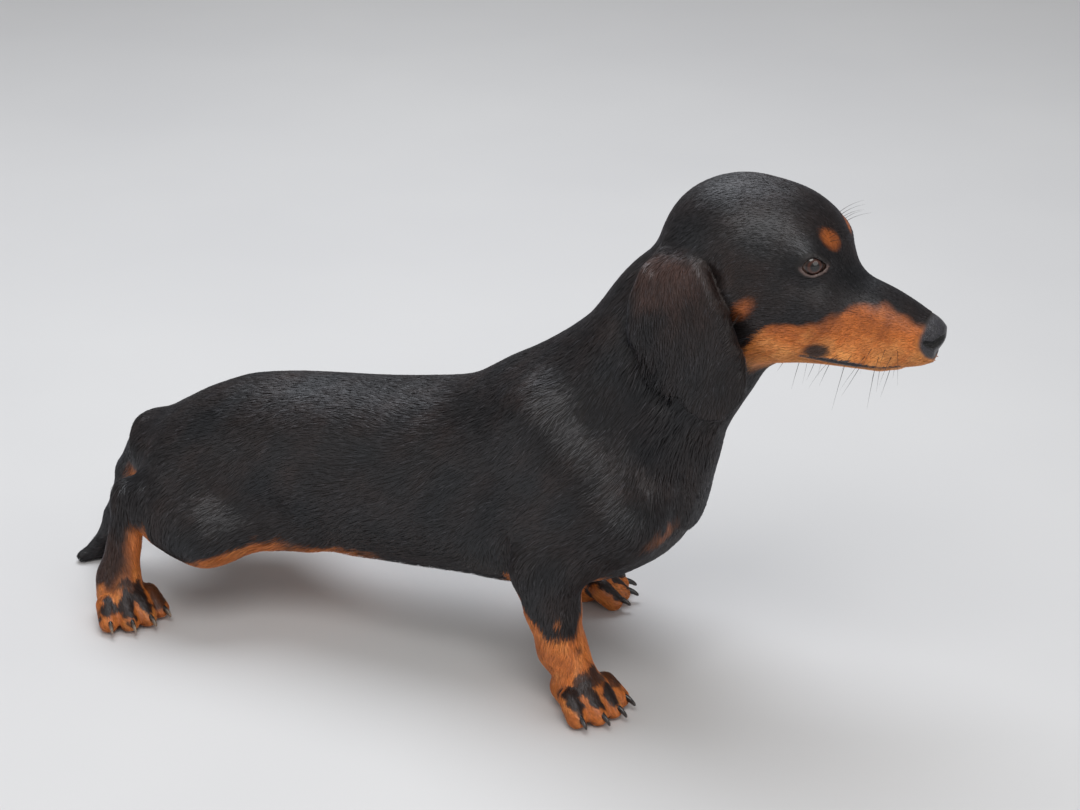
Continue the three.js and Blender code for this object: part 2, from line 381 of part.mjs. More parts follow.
// takes out faces with no width that cuts leave: very short edges are closed up, and a point that
// lies on its neighbour's long edge takes that edge over
function tidy({ P, F }, short = 0.004, flat = 0.0012) {
  const dist = (a, b) => len(sub(P[a], P[b]));
  // two sheets that only touch at a point are drawn a hair apart, each towards its own side
  const here = new Map(); P.forEach((p, i) => { const k = p.map((x) => Math.round(x * 1e4)).join(); if (!here.has(k)) here.set(k, []); here.get(k).push(i); });
  for (const g of here.values()) if (g.length > 1) for (const v of g) {
    let c = [0, 0, 0], n = 0; for (const f of F) if (f.includes(v)) for (const u of f) if (u !== v) { c = add(c, P[u]); n++; }
    if (n) P[v] = mix(P[v], mul(c, 1 / n), 0.04);
  }
  for (let pass = 0, idle = 0; pass < 60 && idle < 2; pass++) {
    const E = new Map(); F.forEach((f, i) => { for (let k = 0; k < 3; k++) E.set(f[k] * 1e6 + f[(k + 1) % 3], i); });
    const near = new Map(); F.forEach((f) => f.forEach((v, k) => { if (!near.has(v)) near.set(v, new Set()); near.get(v).add(f[(k + 1) % 3]).add(f[(k + 2) % 3]); }));
    const used = new Set(), drop = new Set(), to = new Map(); let changed = 0;
    const free = (...v) => v.every((x) => !used.has(x) && [...near.get(x)].every((u) => !to.has(u)));
    for (let i = 0; i < F.length; i++) {
      const f = F[i]; if (f.some((v) => used.has(v))) continue;
      const L = [0, 1, 2].map((k) => dist(f[k], f[(k + 1) % 3])), area = len(cross(sub(P[f[1]], P[f[0]]), sub(P[f[2]], P[f[0]]))), k1 = L.indexOf(Math.max(...L)), k0 = L.indexOf(Math.min(...L));
      if (pass % 2 === 0) {
        if (L[k0] >= short) continue;
        const a = f[k0], b = f[(k0 + 1) % 3]; let common = 0; for (const u of near.get(a)) if (near.get(b).has(u)) common++;
        if (common === 2 && free(a, b)) { to.set(b, a); changed++; for (const v of [a, b]) { used.add(v); for (const u of near.get(v)) used.add(u); } }
      } else if (area / L[k1] < flat) {
        const a = f[k1], b = f[(k1 + 1) % 3], c = f[(k1 + 2) % 3], j = E.get(b * 1e6 + a); if (j === undefined || j === i) continue;
        const g = F[j], d = g.find((v) => v !== a && v !== b); if (near.get(c).has(d) || used.has(d) || used.has(c)) continue;
        F[i] = [a, d, c]; F[j] = [d, b, c]; changed++; for (const v of [a, b, c, d]) used.add(v);
      }
    }
    idle = changed ? 0 : idle + 1;
    F = F.map((f) => f.map((v) => (to.has(v) ? to.get(v) : v))).filter((f) => f[0] !== f[1] && f[1] !== f[2] && f[2] !== f[0]);
  }
  return { P, F };
}

// ---------------------------------------------------------------- the whole body, then its parts
const finer = (p) => {                                     // where the surface carries more shape
  if (p[2] < 2.6) return 5;                                // paws
  if (p[0] > 12 && p[2] > 17) return 3.2;                  // face
  if (p[0] > 7 && p[2] > 17) return 1.6;
  if (p[2] < 7.2 && Math.abs(p[1]) > 2.6) return 1.7;      // lower legs
  return 1;
};
let rest = solid(thin(surface(bodyShape, [-28.2, -9.3, -0.9], [21.3, 9.3, 27.6], LATTICE), BODY_TRIANGLES, finer));
rest = rest.subtract(block([-40, -20, -10], [40, 20, 0]));   // soles, and the tail where it lies on the floor, cut flat

const parts = new Map();
const take = (name, lo, hi, tilt = 0, about = [0, 0, 0], min = 0) => {
  parts.set(name, rest.intersect(block(lo, hi, -GAP / 2, tilt, about)));
  rest = rest.subtract(block(lo, hi, GAP / 2, tilt, about));
};
// ears: their own leaves, one the mirror of the other; what they touch is cut back to leave the clearance
const mirrored = ({ P, F }) => ({ P: P.map(([x, y, z]) => [x, -y, z]), F: F.map(([a, b, c]) => [a, c, b]) });
const ears = {};
{
  const f = earShape(-1), lo = [3.4, -6, 14.4], hi = [13.2, -0.9, 25.2];
  const leaf = thin(surface(f, lo, hi, EAR_LATTICE), 280, () => 1);
  const cut = grown(leaf, 0.075);
  ears.right = solid(leaf); ears.left = solid(mirrored(leaf));
  rest = rest.subtract(solid(cut)).subtract(solid(mirrored(cut)));
}
// eyes: balls in sockets that open on the face
const eyes = {};
for (const [side, s] of [['right', -1], ['left', 1]]) {
  const ball = (r) => { const g = new THREE.SphereGeometry(r, 12, 8); g.rotateX(Math.PI / 2); g.translate(EYE[0], s * EYE[1], EYE[2]); return solid(fromGeometry(g)); };
  eyes[side] = ball(EYE_RADIUS); rest = rest.subtract(ball(EYE_RADIUS + 0.045));
}
// claws: short curved horns that stand out of the ends of the toes; the toes are cut back round them
function claw(root, dir, size = 1, grow = 0) {
  const P = [], F = [], rings = 3, sides = 6, side = unit(cross([0, 0, 1], dir));
  for (let i = 0; i <= rings; i++) {
    const t = i / rings, r = (CLAW_ROOT + (CLAW_TIP - CLAW_ROOT) * t ** 1.3) * size + grow, a = t * 0.95 - 0.1;
    const along = Math.sin(a) * CLAW_LENGTH * size, drop = (1 - Math.cos(a)) * CLAW_LENGTH * size;
    const c = add(add(root, mul(dir, along + (i === 0 ? -grow : i === rings ? grow : 0))), [0, 0, -drop]);
    const tan = add(mul(dir, Math.cos(a)), [0, 0, -Math.sin(a)]), nrm = cross(tan, side);
    for (let k = 0; k < sides; k++) { const q = 2 * Math.PI * k / sides; P.push(add(c, add(mul(side, Math.cos(q) * r * 0.8), mul(nrm, Math.sin(q) * r * 1.1)))); }
  }
  P.push(add(P[0], [0, 0, 0])); P.pop();
  for (let i = 0; i < rings; i++) for (let k = 0; k < sides; k++) { const a = i * sides + k, b = i * sides + (k + 1) % sides; F.push([a, b, b + sides], [a, b + sides, a + sides]); }
  for (let k = 1; k < sides - 1; k++) { F.push([0, k + 1, k]); const o = rings * sides; F.push([o, o + k, o + k + 1]); }
  let vol = 0; F.forEach(([a, b, c]) => { vol += dot(P[a], cross(P[b], P[c])); });
  return { P, F: vol > 0 ? F : F.map(([a, b, c]) => [a, c, b]) };
}
const claws = [];
for (const [name, leg] of Object.entries(LEGS)) {
  const { f, l, toes } = pawFrame(leg);
  toes.forEach((t, i) => {
    const root = add(add(t.tip, mul(t.g, 0.22)), [0, 0, 0.16]);
    claws.push([`claw_${name}_${i + 1}`, claw(root, t.g, 1), claw(root, t.g, 1, 0.04)]);
  });
  if (leg.fore) {
    const inner = leg.s < 0 ? 1 : -1, d = unit(add(mul(f, 0.75), mul(l, inner * 0.5)));
    const root = add(add(add(leg.wrist, mul(l, inner * 0.92)), mul(f, 0.25)), [0, 0, -0.62]);
    claws.push([`claw_${name}_5`, claw(root, d, 0.72), claw(root, d, 0.72, 0.04)]);
  }
}
for (const c of claws) rest = rest.subtract(solid(c[2]));

// legs first, each in a block of its own, then divided at wrist, elbow, knee and hock
take('forepaw_right', [0.6, -9.6, -2], [8.5, -3.2, 2.75]);
take('forearm_right', [-0.6, -9.6, 2.75], [8.5, -3.3, 6.1]);
take('upper_arm_right', [-0.6, -9.6, 6.1], [7.4, -3.3, 10.6]);
take('forepaw_left', [-2.6, 3.2, -2], [5.2, 9.6, 2.75]);
take('forearm_left', [-2.6, 3.3, 2.75], [5.2, 9.6, 5.9]);
take('upper_arm_left', [-2.6, 3.3, 5.9], [7.4, 9.6, 10.6]);
take('hindpaw_right', [-25, -9.6, -2], [-17.6, -2.6, 1.95]);
take('rear_pastern_right', [-25, -9.6, 1.95], [-19.35, -2.6, 5.1]);
take('lower_leg_right', [-25, -9.6, 5.1], [-19.35, -2.6, 8.6]);
take('thigh_right', [-19.35, -9.6, 1.0], [-13.9, -2.6, 9.6]);
take('hindpaw_left', [-25, 2.6, -2], [-17.6, 9.6, 1.95]);
take('rear_pastern_left', [-25, 2.6, 1.95], [-19.2, 9.6, 5.1]);
take('lower_leg_left', [-25, 2.6, 5.1], [-19.2, 9.6, 8.6]);
take('thigh_left', [-19.2, 2.6, 1.0], [-13.9, 9.6, 9.6]);
take('tail', [-32, -2.2, -2], [-22.55, 2.2, 12]);
take('nose', [18.78, -2, 19.1], [24, 2, 24], 14, [18.8, 0, 20]);
take('lower_jaw', [12.6, -4, 15], [24, 4, 18.72], -1, [12.6, 0, 18.7]);
take('head', [8.7, -9, 13], [40, 9, 40], 27, [8.9, 0, 21.0]);
take('neck', [-30, -9, 14.6], [40, 9, 60], -30.7, [4.6, 0, 14.6]);
parts.set('trunk', rest);
for (const side of ['right', 'left']) { parts.set(`ear_${side}`, ears[side]); parts.set(`eye_${side}`, eyes[side]); }
for (const c of claws) parts.set(c[0], solid(c[1]).subtract(block([-40, -20, -10], [40, 20, 0])));

// ---------------------------------------------------------------- colours of the parts
const BLACK = [0x1b1a1c, 0.55, 0], TAN = [0xc4762f, 0.7, 0], HORN = [0x1f1d1e, 0.3, 0], LEATHER = [0x222226, 0.35, 0], EYEBALL = [0x2a1712, 0.08, 0];
const finish = (name) => {
  if (name.startsWith('claw')) return HORN;
  if (name.startsWith('eye')) return EYEBALL;
  if (name === 'nose') return LEATHER;
  if (/paw|pastern|lower_jaw/.test(name)) return TAN;
  return BLACK;
};
const dachshund = new THREE.Group();
for (const [name, m] of parts) {
  const { P, F } = tidy(largest(m)), g = new THREE.BufferGeometry();
  g.setAttribute('position', new THREE.Float32BufferAttribute(P.flatMap((p) => [(p[0] - ORIGIN[0]) * MM_PER_CM, (p[1] - ORIGIN[1]) * MM_PER_CM, p[2] * MM_PER_CM]), 3));
  g.setIndex(F.flat()); g.computeVertexNormals();
  const [color, roughness, metalness] = finish(name);
  const mesh = new THREE.Mesh(g, new THREE.MeshStandardMaterial({ color, roughness, metalness }));
  mesh.name = name; dachshund.add(mesh);
}
export default dachshund;
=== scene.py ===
import math
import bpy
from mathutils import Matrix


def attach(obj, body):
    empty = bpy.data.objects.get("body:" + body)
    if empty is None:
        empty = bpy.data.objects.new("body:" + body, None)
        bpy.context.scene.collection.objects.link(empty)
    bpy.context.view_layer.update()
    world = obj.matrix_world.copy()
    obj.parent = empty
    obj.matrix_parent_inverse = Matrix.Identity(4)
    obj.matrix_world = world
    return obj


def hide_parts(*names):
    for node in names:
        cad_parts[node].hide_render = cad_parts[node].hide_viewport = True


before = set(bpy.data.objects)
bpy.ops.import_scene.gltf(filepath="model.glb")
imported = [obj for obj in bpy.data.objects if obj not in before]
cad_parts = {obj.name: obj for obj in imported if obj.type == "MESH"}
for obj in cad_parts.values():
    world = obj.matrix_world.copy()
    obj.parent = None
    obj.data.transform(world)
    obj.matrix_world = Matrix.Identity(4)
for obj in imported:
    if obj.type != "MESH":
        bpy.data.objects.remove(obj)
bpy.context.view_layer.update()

from concurrent.futures import ThreadPoolExecutor

import bpy
import numpy as np
from mathutils import Matrix, Vector

ORIGIN = np.array([-3.3815, -0.1457, 0.0])      # the dog's own frame (cm) to the shared frame
RNG = np.random.default_rng(20240)


def metres(P):
    return (np.asarray(P, float) - ORIGIN) / 100.0


# ------------------------------------------------------------------ sizes (cm, x forward, y left, z up)
TRUNK = [
    [-22.6, 7.9, 0.95, 2.1, 1.6, 2.0, 2.0], [-21.8, 7.9, 1.45, 2.6, 2.3, 2.0, 2.0], [-20.2, 8.2, 2.15, 3.1, 3.0, 2.0, 2.0],
    [-18.5, 8.4, 2.95, 3.5, 3.6, 2.0, 2.1], [-16.2, 8.5, 3.8, 3.8, 4.1, 2.05, 2.1], [-13.0, 8.6, 4.2, 4.5, 4.3, 2.15, 2.1],
    [-10.0, 8.6, 4.5, 4.8, 4.45, 2.15, 2.1], [-7.0, 8.7, 4.8, 4.8, 4.6, 2.15, 2.1], [-4.0, 8.9, 5.2, 4.9, 4.8, 2.1, 2.1],
    [-1.0, 9.2, 6.1, 5.2, 4.85, 1.95, 2.1], [1.5, 9.6, 6.25, 5.5, 4.7, 1.9, 2.1], [4.0, 9.8, 5.8, 5.0, 4.35, 1.9, 2.1],
    [5.8, 10.0, 4.5, 4.0, 3.7, 2.0, 2.1], [7.1, 10.1, 3.0, 2.9, 2.7, 2.0, 2.0], [7.9, 10.2, 1.7, 1.6, 1.5, 2.0, 2.0]]
MUZZLE_PITCH, MUZZLE_ORIGIN = -10, (0, 0, 23.05)
MUZZLE = [
    [12.185, 0, 2.7, 2.5, 2.3, 2.2, 2.3], [14.216, 0, 2.45, 2.3, 2.15, 2.2, 2.5], [15.841, 0, 2.1, 1.95, 1.85, 2.2, 2.7],
    [17.262, 0, 1.88, 1.65, 1.6, 2.2, 2.8], [18.582, 0, 1.5, 1.5, 1.42, 2.2, 2.7], [19.395, 0, 1.15, 1.3, 1.2, 2.2, 2.3],
    [20.004, 0, 0.75, 0.95, 0.85, 2.1, 2.1]]
EAR_U = [-0.5, 0.6, 2.0, 3.4, 5.0, 6.4, 7.3, 7.9]
EAR_C = [0.1, -0.15, -0.45, -0.45, -0.25, 0.05, 0.25, 0.3]
EAR_W = [0.9, 1.55, 2.25, 2.65, 2.6, 2.2, 1.6, 0.7]
EAR_TOP, EAR_TIP = (7.7, 3.0, 23.35), (9.9, 3.75, 15.8)
EYE_RADIUS, EYE = 0.84, (13.87, 1.88, 23.45)
LEGS = {
    "fore_right": dict(s=-1, fore=True, elbow=(1.7, -5.0, 6.9), wrist=(3.1, -5.05, 2.85), paw=(4.35, -5.6, 0), yaw=-26),
    "fore_left": dict(s=1, fore=True, elbow=(-0.6, 4.9, 6.6), wrist=(-0.1, 4.9, 2.75), paw=(0.75, 5.35, 0), yaw=24),
    "hind_right": dict(s=-1, fore=False, hip=(-17.9, -2.3, 7.9), knee=(-17.0, -4.3, 5.0), hock=(-21.6, -4.25, 6.6), paw=(-21.3, -5.25, 0), yaw=-36),
    "hind_left": dict(s=1, fore=False, hip=(-17.9, 2.3, 7.9), knee=(-16.9, 4.3, 5.0), hock=(-21.4, 4.25, 6.4), paw=(-20.7, 5.0, 0), yaw=24)}
TOES = [(-1.22, 0.55, -14), (-0.42, 1.02, -5), (0.42, 1.02, 5), (1.22, 0.55, 14)]
TAIL = [(-21.8, 0, 8.2, 1.3), (-23.5, 0.25, 5.6, 0.92), (-24.8, 0.5, 2.6, 0.66), (-25.8, 0.25, 0.6, 0.5), (-26.5, -0.6, 0.28, 0.34)]
CLAW_LENGTH, CLAW_ROOT, CLAW_TIP = 0.95, 0.19, 0.07

# ------------------------------------------------------------------ shapes (signed distance, minus inside)
A = lambda *v: np.array(v, float)
unit = lambda v: np.asarray(v, float) / np.linalg.norm(v)


def smin(a, b, k):
    h = np.maximum(k - np.abs(a - b), 0) / k
    return np.minimum(a, b) - h * h * (k * 0.25)


def smax(a, b, k):
    return -smin(-a, -b, k)


def step(x, a, b):
    t = np.clip((x - a) / (b - a), 0, 1)
    return t * t * (3 - 2 * t)


def cone(a, b, r1, r2, flat=None):
    a, b = np.asarray(a, float), np.asarray(b, float)
    ba = b - a
    l2 = ba @ ba
    rr = r1 - r2
    a2 = l2 - rr * rr
    il2 = 1 / l2
    n, scale = None, 1.0
    if flat is not None:
        ax = ba / math.sqrt(l2)
        n = np.asarray(flat[0], float)
        n = unit(n - ax * (n @ ax))
        f = flat[1]
        scale = 0.5 + 0.5 * min(f, 1 / f)
    sg = math.copysign(1, rr) * rr * rr if rr else 0.0

    def fn(P):
        pa = P - a
        if n is not None:
            pa = pa + n * ((pa @ n) * (1 / f - 1))[:, None]
        y = pa @ ba
        z = y - l2
        v = pa * l2 - y[:, None] * ba
        x2 = np.einsum("ij,ij->i", v, v)
        y2, z2 = y * y * l2, z * z * l2
        k = sg * x2
        d = np.where(np.sign(z) * a2 * z2 > k, np.sqrt(x2 + z2) * il2 - r2,
                     np.where(np.sign(y) * a2 * y2 < k, np.sqrt(x2 + y2) * il2 - r1,
                              (np.sqrt(np.maximum(x2 * a2 * il2, 0)) + y * rr) * il2 - r1))
        return d * scale
    return fn


def axes(yaw=0, pitch=0):
    y, p = math.radians(yaw), math.radians(pitch)
    cy, sy, cp, sp = math.cos(y), math.sin(y), math.cos(p), math.sin(p)
    return np.array([[cy * cp, sy * cp, sp], [-sy, cy, 0], [-cy * sp, -sy * sp, cp]])


def mass(c, r, ax=None):
    c, r = np.asarray(c, float), np.asarray(r, float)
    ax = axes() if ax is None else ax

    def fn(P):
        q = ((P - c) @ ax.T) / r
        k0 = np.sqrt((q * q).sum(1))
        k1 = np.sqrt(((q / r) ** 2).sum(1)) + 1e-9
        return k0 * (k0 - 1) / k1
    return fn


def curve(xs, ys):
    xs, ys = np.asarray(xs, float), np.asarray(ys, float)
    h = np.diff(xs)
    d = np.diff(ys) / h
    m = np.zeros(len(xs))
    m[0], m[-1] = d[0], d[-1]
    for i in range(1, len(xs) - 1):
        if d[i - 1] * d[i] > 0:
            w1, w2 = 2 * h[i] + h[i - 1], h[i] + 2 * h[i - 1]
            m[i] = (w1 + w2) / (w1 / d[i - 1] + w2 / d[i])

    def fn(x):
        x = np.clip(x, xs[0], xs[-1])
        i = np.clip(np.searchsorted(xs, x, side="right") - 1, 0, len(xs) - 2)
        t = (x - xs[i]) / h[i]
        t2 = t * t
        t3 = t2 * t
        return (2 * t3 - 3 * t2 + 1) * ys[i] + (t3 - 2 * t2 + t) * h[i] * m[i] + (-2 * t3 + 3 * t2) * ys[i + 1] + (t3 - t2) * h[i] * m[i + 1]
    return fn


def loft(origin, pitch, rows):
    rows = np.asarray(rows, float)
    s0, s1 = rows[0, 0], rows[-1, 0]
    C, U, D, W, NU, ND = [curve(rows[:, 0], rows[:, i]) for i in range(1, 7)]
    ca, sa = math.cos(math.radians(pitch)), math.sin(math.radians(pitch))

    def fn(P):
        px, pz, py = P[:, 0] - origin[0], P[:, 2] - origin[2], np.abs(P[:, 1] - origin[1])
        s = px * ca + pz * sa
        t = -px * sa + pz * ca - C(s)
        up = t > 0
        hh, n = np.where(up, U(s), D(s)), np.where(up, NU(s), ND(s))
        r = np.hypot(py, t) + 1e-9
        rho = (np.power(py / W(s), n) + np.power(np.abs(t) / hh, n)) ** (1 / n) + 1e-9
        d = r - r / rho
        ds = np.maximum(s0 - s, s - s1)
        return np.where(ds > 0, np.sqrt(np.maximum(d, 0) ** 2 + ds * ds), d)
    return fn


def blend(parts):
    def fn(P):
        d = parts[0][0](P)
        for f, k in parts[1:]:
            d = smin(d, f(P), k)
        return d
    return fn


ACROSS = (0, 1, 0)
neck_shape = blend([
    (cone((2.4, 0, 11.6), (7.6, 0, 18.8), 4.7, 3.6, (ACROSS, 0.88)), 0),
    (cone((7.6, 0, 18.8), (9.8, 0, 21.7), 3.6, 3.25, (ACROSS, 0.9)), 1.5),
    (cone((9.1, 0, 17.5), (5.5, 0, 10.4), 1.4, 2.3, (ACROSS, 1.15)), 2.4)])


def make_head():
    l = [(mass((10.6, 0, 22.95), (4.3, 3.25, 3.65), axes(0, -8)), 0), (mass((12.45, 0, 22.8), (2.7, 2.5, 3.05), axes(0, -20)), 1.2)]
    for s in (-1, 1):
        l.append((mass((13.35, s * 1.22, 23.3), (1.55, 1.05, 1.35), axes(s * 12, -35)), 1.0))
        l.append((mass((11.6, s * 1.95, 20.6), (2.6, 1.25, 2.3), axes(-s * 10, -20)), 1.6))
        l.append((cone((14.2, s * 1.75, 21.4), (10.6, s * 2.75, 21.6), 0.7, 0.75), 1.1))
    l.append((loft(MUZZLE_ORIGIN, MUZZLE_PITCH, MUZZLE), 1.3))
    l.append((mass((19.25, 0, 20.0), (0.78, 0.98, 0.78), axes(0, -20)), 0.45))
    l.append((cone((11.6, 0, 19.2), (17.7, 0, 18.6), 1.55, 0.62, (ACROSS, 1.0)), 0.5))
    for s in (-1, 1):
        l.append((cone((11.3, s * 1.7, 19.6), (17.0, s * 0.55, 18.7), 1.0, 0.55), 0.7))
    return blend(l)


def paw_frame(leg):
    y = math.radians(leg["yaw"])
    f, l = A(math.cos(y), math.sin(y), 0), A(-math.sin(y), math.cos(y), 0)
    c = A(*leg["paw"])
    toes = []
    for side, fw, splay in TOES:
        b = math.radians(leg["yaw"] + splay)
        g = A(math.cos(b), math.sin(b), 0)
        toes.append((c + l * side * 0.95 + f * (fw - 0.15) + A(0, 0, 1.12), c + l * side * 1.05 + f * fw + g * 0.62 + A(0, 0, 0.5), g))
    return f, l, toes


def paw_parts(leg, ankle):
    f, l, toes = paw_frame(leg)
    c = A(*leg["paw"])
    out = [(cone(ankle, c + A(0, 0, 1.35) + f * 0.1, 1.08, 0.98), 0.7),
           (mass(c + A(0, 0, 0.95) - f * 0.35, (1.5, 1.25, 0.85), axes(leg["yaw"])), 0.6),
           (mass(c + A(0, 0, 0.42) - f * 0.35, (0.95, 0.95, 0.52), axes(leg["yaw"])), 0.3)]
    for k, t, g in toes:
        out.append((cone(k, t, 0.62, 0.56), 0.28))
    if leg["fore"]:
        out.append((cone(ankle - f * 0.95 + A(0, 0, -0.25), ankle - f * 1.12 + A(0, 0, -0.4), 0.34, 0.3), 0.3))
    return out


def foreleg(leg):
    s, e, w = leg["s"], A(*leg["elbow"]), A(*leg["wrist"])
    mid = e * 0.55 + w * 0.45 + A(0.25, 0, 0)
    return blend([(cone((5.3, s * 3.5, 9.6), e + A(0.4, 0, 0.2), 2.15, 1.55), 0),
                  (mass((2.6, s * 4.0, 9.0), (2.6, 1.5, 2.9), axes(0, -50)), 1.5),
                  (cone(e, e + A(-0.1, 0, 0.1), 0.95, 0.9), 0.9),
                  (cone(e + A(0.6, 0, -0.1), mid, 1.5, 1.37), 0.9),
                  (cone(mid, w, 1.36, 1.17), 0.6)] + paw_parts(leg, w))


def hindleg(leg):
    s, hip, knee, hock, paw = leg["s"], A(*leg["hip"]), A(*leg["knee"]), A(*leg["hock"]), A(*leg["paw"])
    y = math.radians(leg["yaw"])
    ankle = paw + A(-0.6 * math.cos(y), -0.6 * math.sin(y), 1.9)
    return blend([(cone(hip, knee + A(0.3, 0, 0.5), 2.55, 1.7, (ACROSS, 0.85)), 0),
                  (mass((hip + knee) / 2 + A(-1.3, 0, -0.2), (2.5, 1.55, 2.5), axes(0, -8)), 1.6),
                  (cone(knee + A(0, 0, 0.3), knee + A(-1.9, 0, 0.6), 1.4, 1.35), 1.2),
                  (cone(knee + A(0.6, 0, 0.5), (-11.5, s * 3.2, 5.6), 1.3, 1.0, (ACROSS, 0.7)), 1.8),
                  (cone(knee + A(-1.2, -s * 0.1, 0.7), hock + A(0.45, 0, 0), 1.35, 0.85), 1.2),
                  (cone(hock + A(0.1, 0, 0.1), hock + A(0.25, 0, -0.5), 0.62, 0.85), 0.5),
                  (cone(hock + A(0.45, 0, -0.6), ankle, 0.95, 0.98), 0.5)] + paw_parts(leg, ankle))


def ear_axes(s):
    top, tip = A(EAR_TOP[0], s * EAR_TOP[1], EAR_TOP[2]), A(EAR_TIP[0], s * EAR_TIP[1], EAR_TIP[2])
    ax = unit(tip - top)
    fwd = A(1, s * 0.14, 0)
    fwd = unit(fwd - ax * (fwd @ ax))
    out = np.cross(ax, fwd)
    return top, ax, fwd, (out if out[1] * s > 0 else -out)


def ear_shape(s):
    top, ax, fwd, out = ear_axes(s)
    C, W, T = curve(EAR_U, EAR_C), curve(EAR_U, EAR_W), curve([-1, 0, 2, 5, 8], [0.5, 0.48, 0.38, 0.32, 0.26])
    roll = cone(top + ax * 0.6 - fwd * 1.35 + out * 0.1, top + ax * 3.6 - fwd * 2.9 - out * 0.05, 0.42, 0.36)

    def fn(P):
        p = P - top
        u, w = p @ ax, p @ out
        vv = p @ fwd - C(u)
        uc = np.clip(u, 0, 8)
        bow = 0.15 + 0.38 * np.sin(np.clip(uc / 5.5, 0, 1) * np.pi) - 0.07 * vv * vv - 1.5 * np.exp(-np.maximum(u + 0.5, 0) * 1.6)
        edge = np.maximum(np.abs(vv) - W(u) + 0.25, 0)
        end = np.maximum(np.maximum(-0.5 - u, u - 7.85), 0)
        d = np.sqrt(edge ** 2 + (w - bow) ** 2 + end ** 2) - T(u)
        return smin(d, roll(P), 0.5) * 0.85
    return fn


tail_shape = blend([(cone(TAIL[i][:3], TAIL[i + 1][:3], TAIL[i][3], TAIL[i + 1][3]), 0.5) for i in range(len(TAIL) - 1)])
GROUPS = [("trunk", loft((0, 0, 0), 0, TRUNK), 0.0), ("neck", neck_shape, 3.0), ("head", make_head(), 1.2),
          ("blade_r", cone((1.3, -3.0, 14.0), (5.6, -3.55, 9.8), 1.7, 1.9), 2.0), ("blade_l", cone((1.3, 3.0, 14.0), (5.6, 3.55, 9.8), 1.7, 1.9), 2.0),
          ("fore_right", foreleg(LEGS["fore_right"]), 0.9), ("fore_left", foreleg(LEGS["fore_left"]), 0.9),
          ("hind_right", hindleg(LEGS["hind_right"]), 1.2), ("hind_left", hindleg(LEGS["hind_left"]), 1.2),
          ("tail", tail_shape, 0.8), ("ear_right", ear_shape(-1), 0.18), ("ear_left", ear_shape(1), 0.18)]
NG = len(GROUPS)
GK = np.array([g[2] for g in GROUPS])
GI = {g[0]: i for i, g in enumerate(GROUPS)}
POOL = ThreadPoolExecutor(4)


def by_group(P, cell=1.3):
    """splits points into lots that only need a few of the groups; yields (indices, group numbers)"""
    key = np.floor(P / cell).astype(np.int64)
    key -= key.min(0)
    n = key.max(0) + 1
    lin = (key[:, 0] * n[1] + key[:, 1]) * n[2] + key[:, 2]
    u, inv = np.unique(lin, return_inverse=True)
    first = np.zeros(len(u), np.int64)
    first[inv] = np.arange(len(P))
    centre = (np.floor(P[first] / cell) + 0.5) * cell
    G = np.stack(list(POOL.map(lambda g: g[1](centre), GROUPS)), 1)
    R = cell * 0.866 * 1.5
    need = (G - R) < (G.min(1)[:, None] + R + GK[None])
    code = need @ (1 << np.arange(NG))
    cp = code[inv]
    order = np.argsort(cp, kind="stable")
    cuts = np.flatnonzero(np.diff(cp[order])) + 1
    for idx in np.split(order, cuts):
        c = int(cp[idx[0]])
        yield idx, [g for g in range(NG) if c >> g & 1]


def field(P, want_groups=False):
    """the outer outline of the dog, out to the tips of the coat"""
    P = np.asarray(P, float)
    out = np.empty(len(P))
    GD = np.full((len(P), NG), 9.0, np.float32) if want_groups else None

    def job(a):
        idx, gs = a
        Q = P[idx]
        d = None
        for g in gs:
            v = GROUPS[g][1](Q)
            if GD is not None:
                GD[idx, g] = v
            if g >= NG - 2 and d is not None:            # the neck and skull fall back round the hanging ear
                d = d + 0.29 * (1 - step(Q[:, 2], 22.6, 23.7)) * np.exp(-(np.maximum(v, 0) / 0.62) ** 2)
            d = v if d is None else smin(d, v, GK[g])
        out[idx] = d
    jobs = []
    for idx, gs in by_group(P):
        for i in range(0, len(idx), 40000):
            jobs.append((idx[i:i + 40000], gs))
    list(POOL.map(job, jobs))
    return (out, GD) if want_groups else out


# ------------------------------------------------------------------ coat depth and the details only the skin has
def coat_depth(P):
    x, y, z = P[:, 0], P[:, 1], P[:, 2]
    d = np.full(len(P), 0.13)
    face = step(x, 10.5, 13.5) * step(z, 15.5, 18.0)
    d = d * (1 - face) + 0.045 * face
    skull = step(x, 7.5, 10.5) * step(z, 20.5, 22.5) * (1 - face)
    d = d * (1 - skull * 0.4)
    low = 1 - step(z, 2.4, 5.5)
    d = d * (1 - low) + 0.075 * low
    eary = step(np.abs(y), 2.6, 3.2) * step(z, 14.5, 16.5) * step(x, 3.0, 5.0) * (1 - face)
    return d * (1 - 0.35 * eary)


def surf_y(x, z, s, guess=2.0):
    lo, hi = 0.0, 5.0
    for _ in range(30):
        m = (lo + hi) / 2
        if field(np.array([[x, s * m, z]]))[0] < 0:
            lo = m
        else:
            hi = m
    return s * lo


def eye_frame(s):
    c = A(EYE[0], s * EYE[1], EYE[2])
    o = unit((0.47, s * 0.88, 0.06))
    h = A(0.88, -s * 0.47, 0.06)
    h = unit(h - o * (h @ o))
    return c, o, h, unit(np.cross(o, h) if np.cross(o, h)[2] > 0 else -np.cross(o, h))


EYES = {s: eye_frame(s) for s in (-1, 1)}
LIP = {}
for s_ in (-1, 1):
    LIP[s_] = [A(x, surf_y(x, z, s_) if x < 18.7 else s_ * 0.35, z) for x, z in
               ((18.85, 18.68), (18.2, 18.6), (17.3, 18.5), (16.2, 18.52), (15.3, 18.63), (14.7, 18.74), (14.2, 18.85), (13.8, 18.93))]


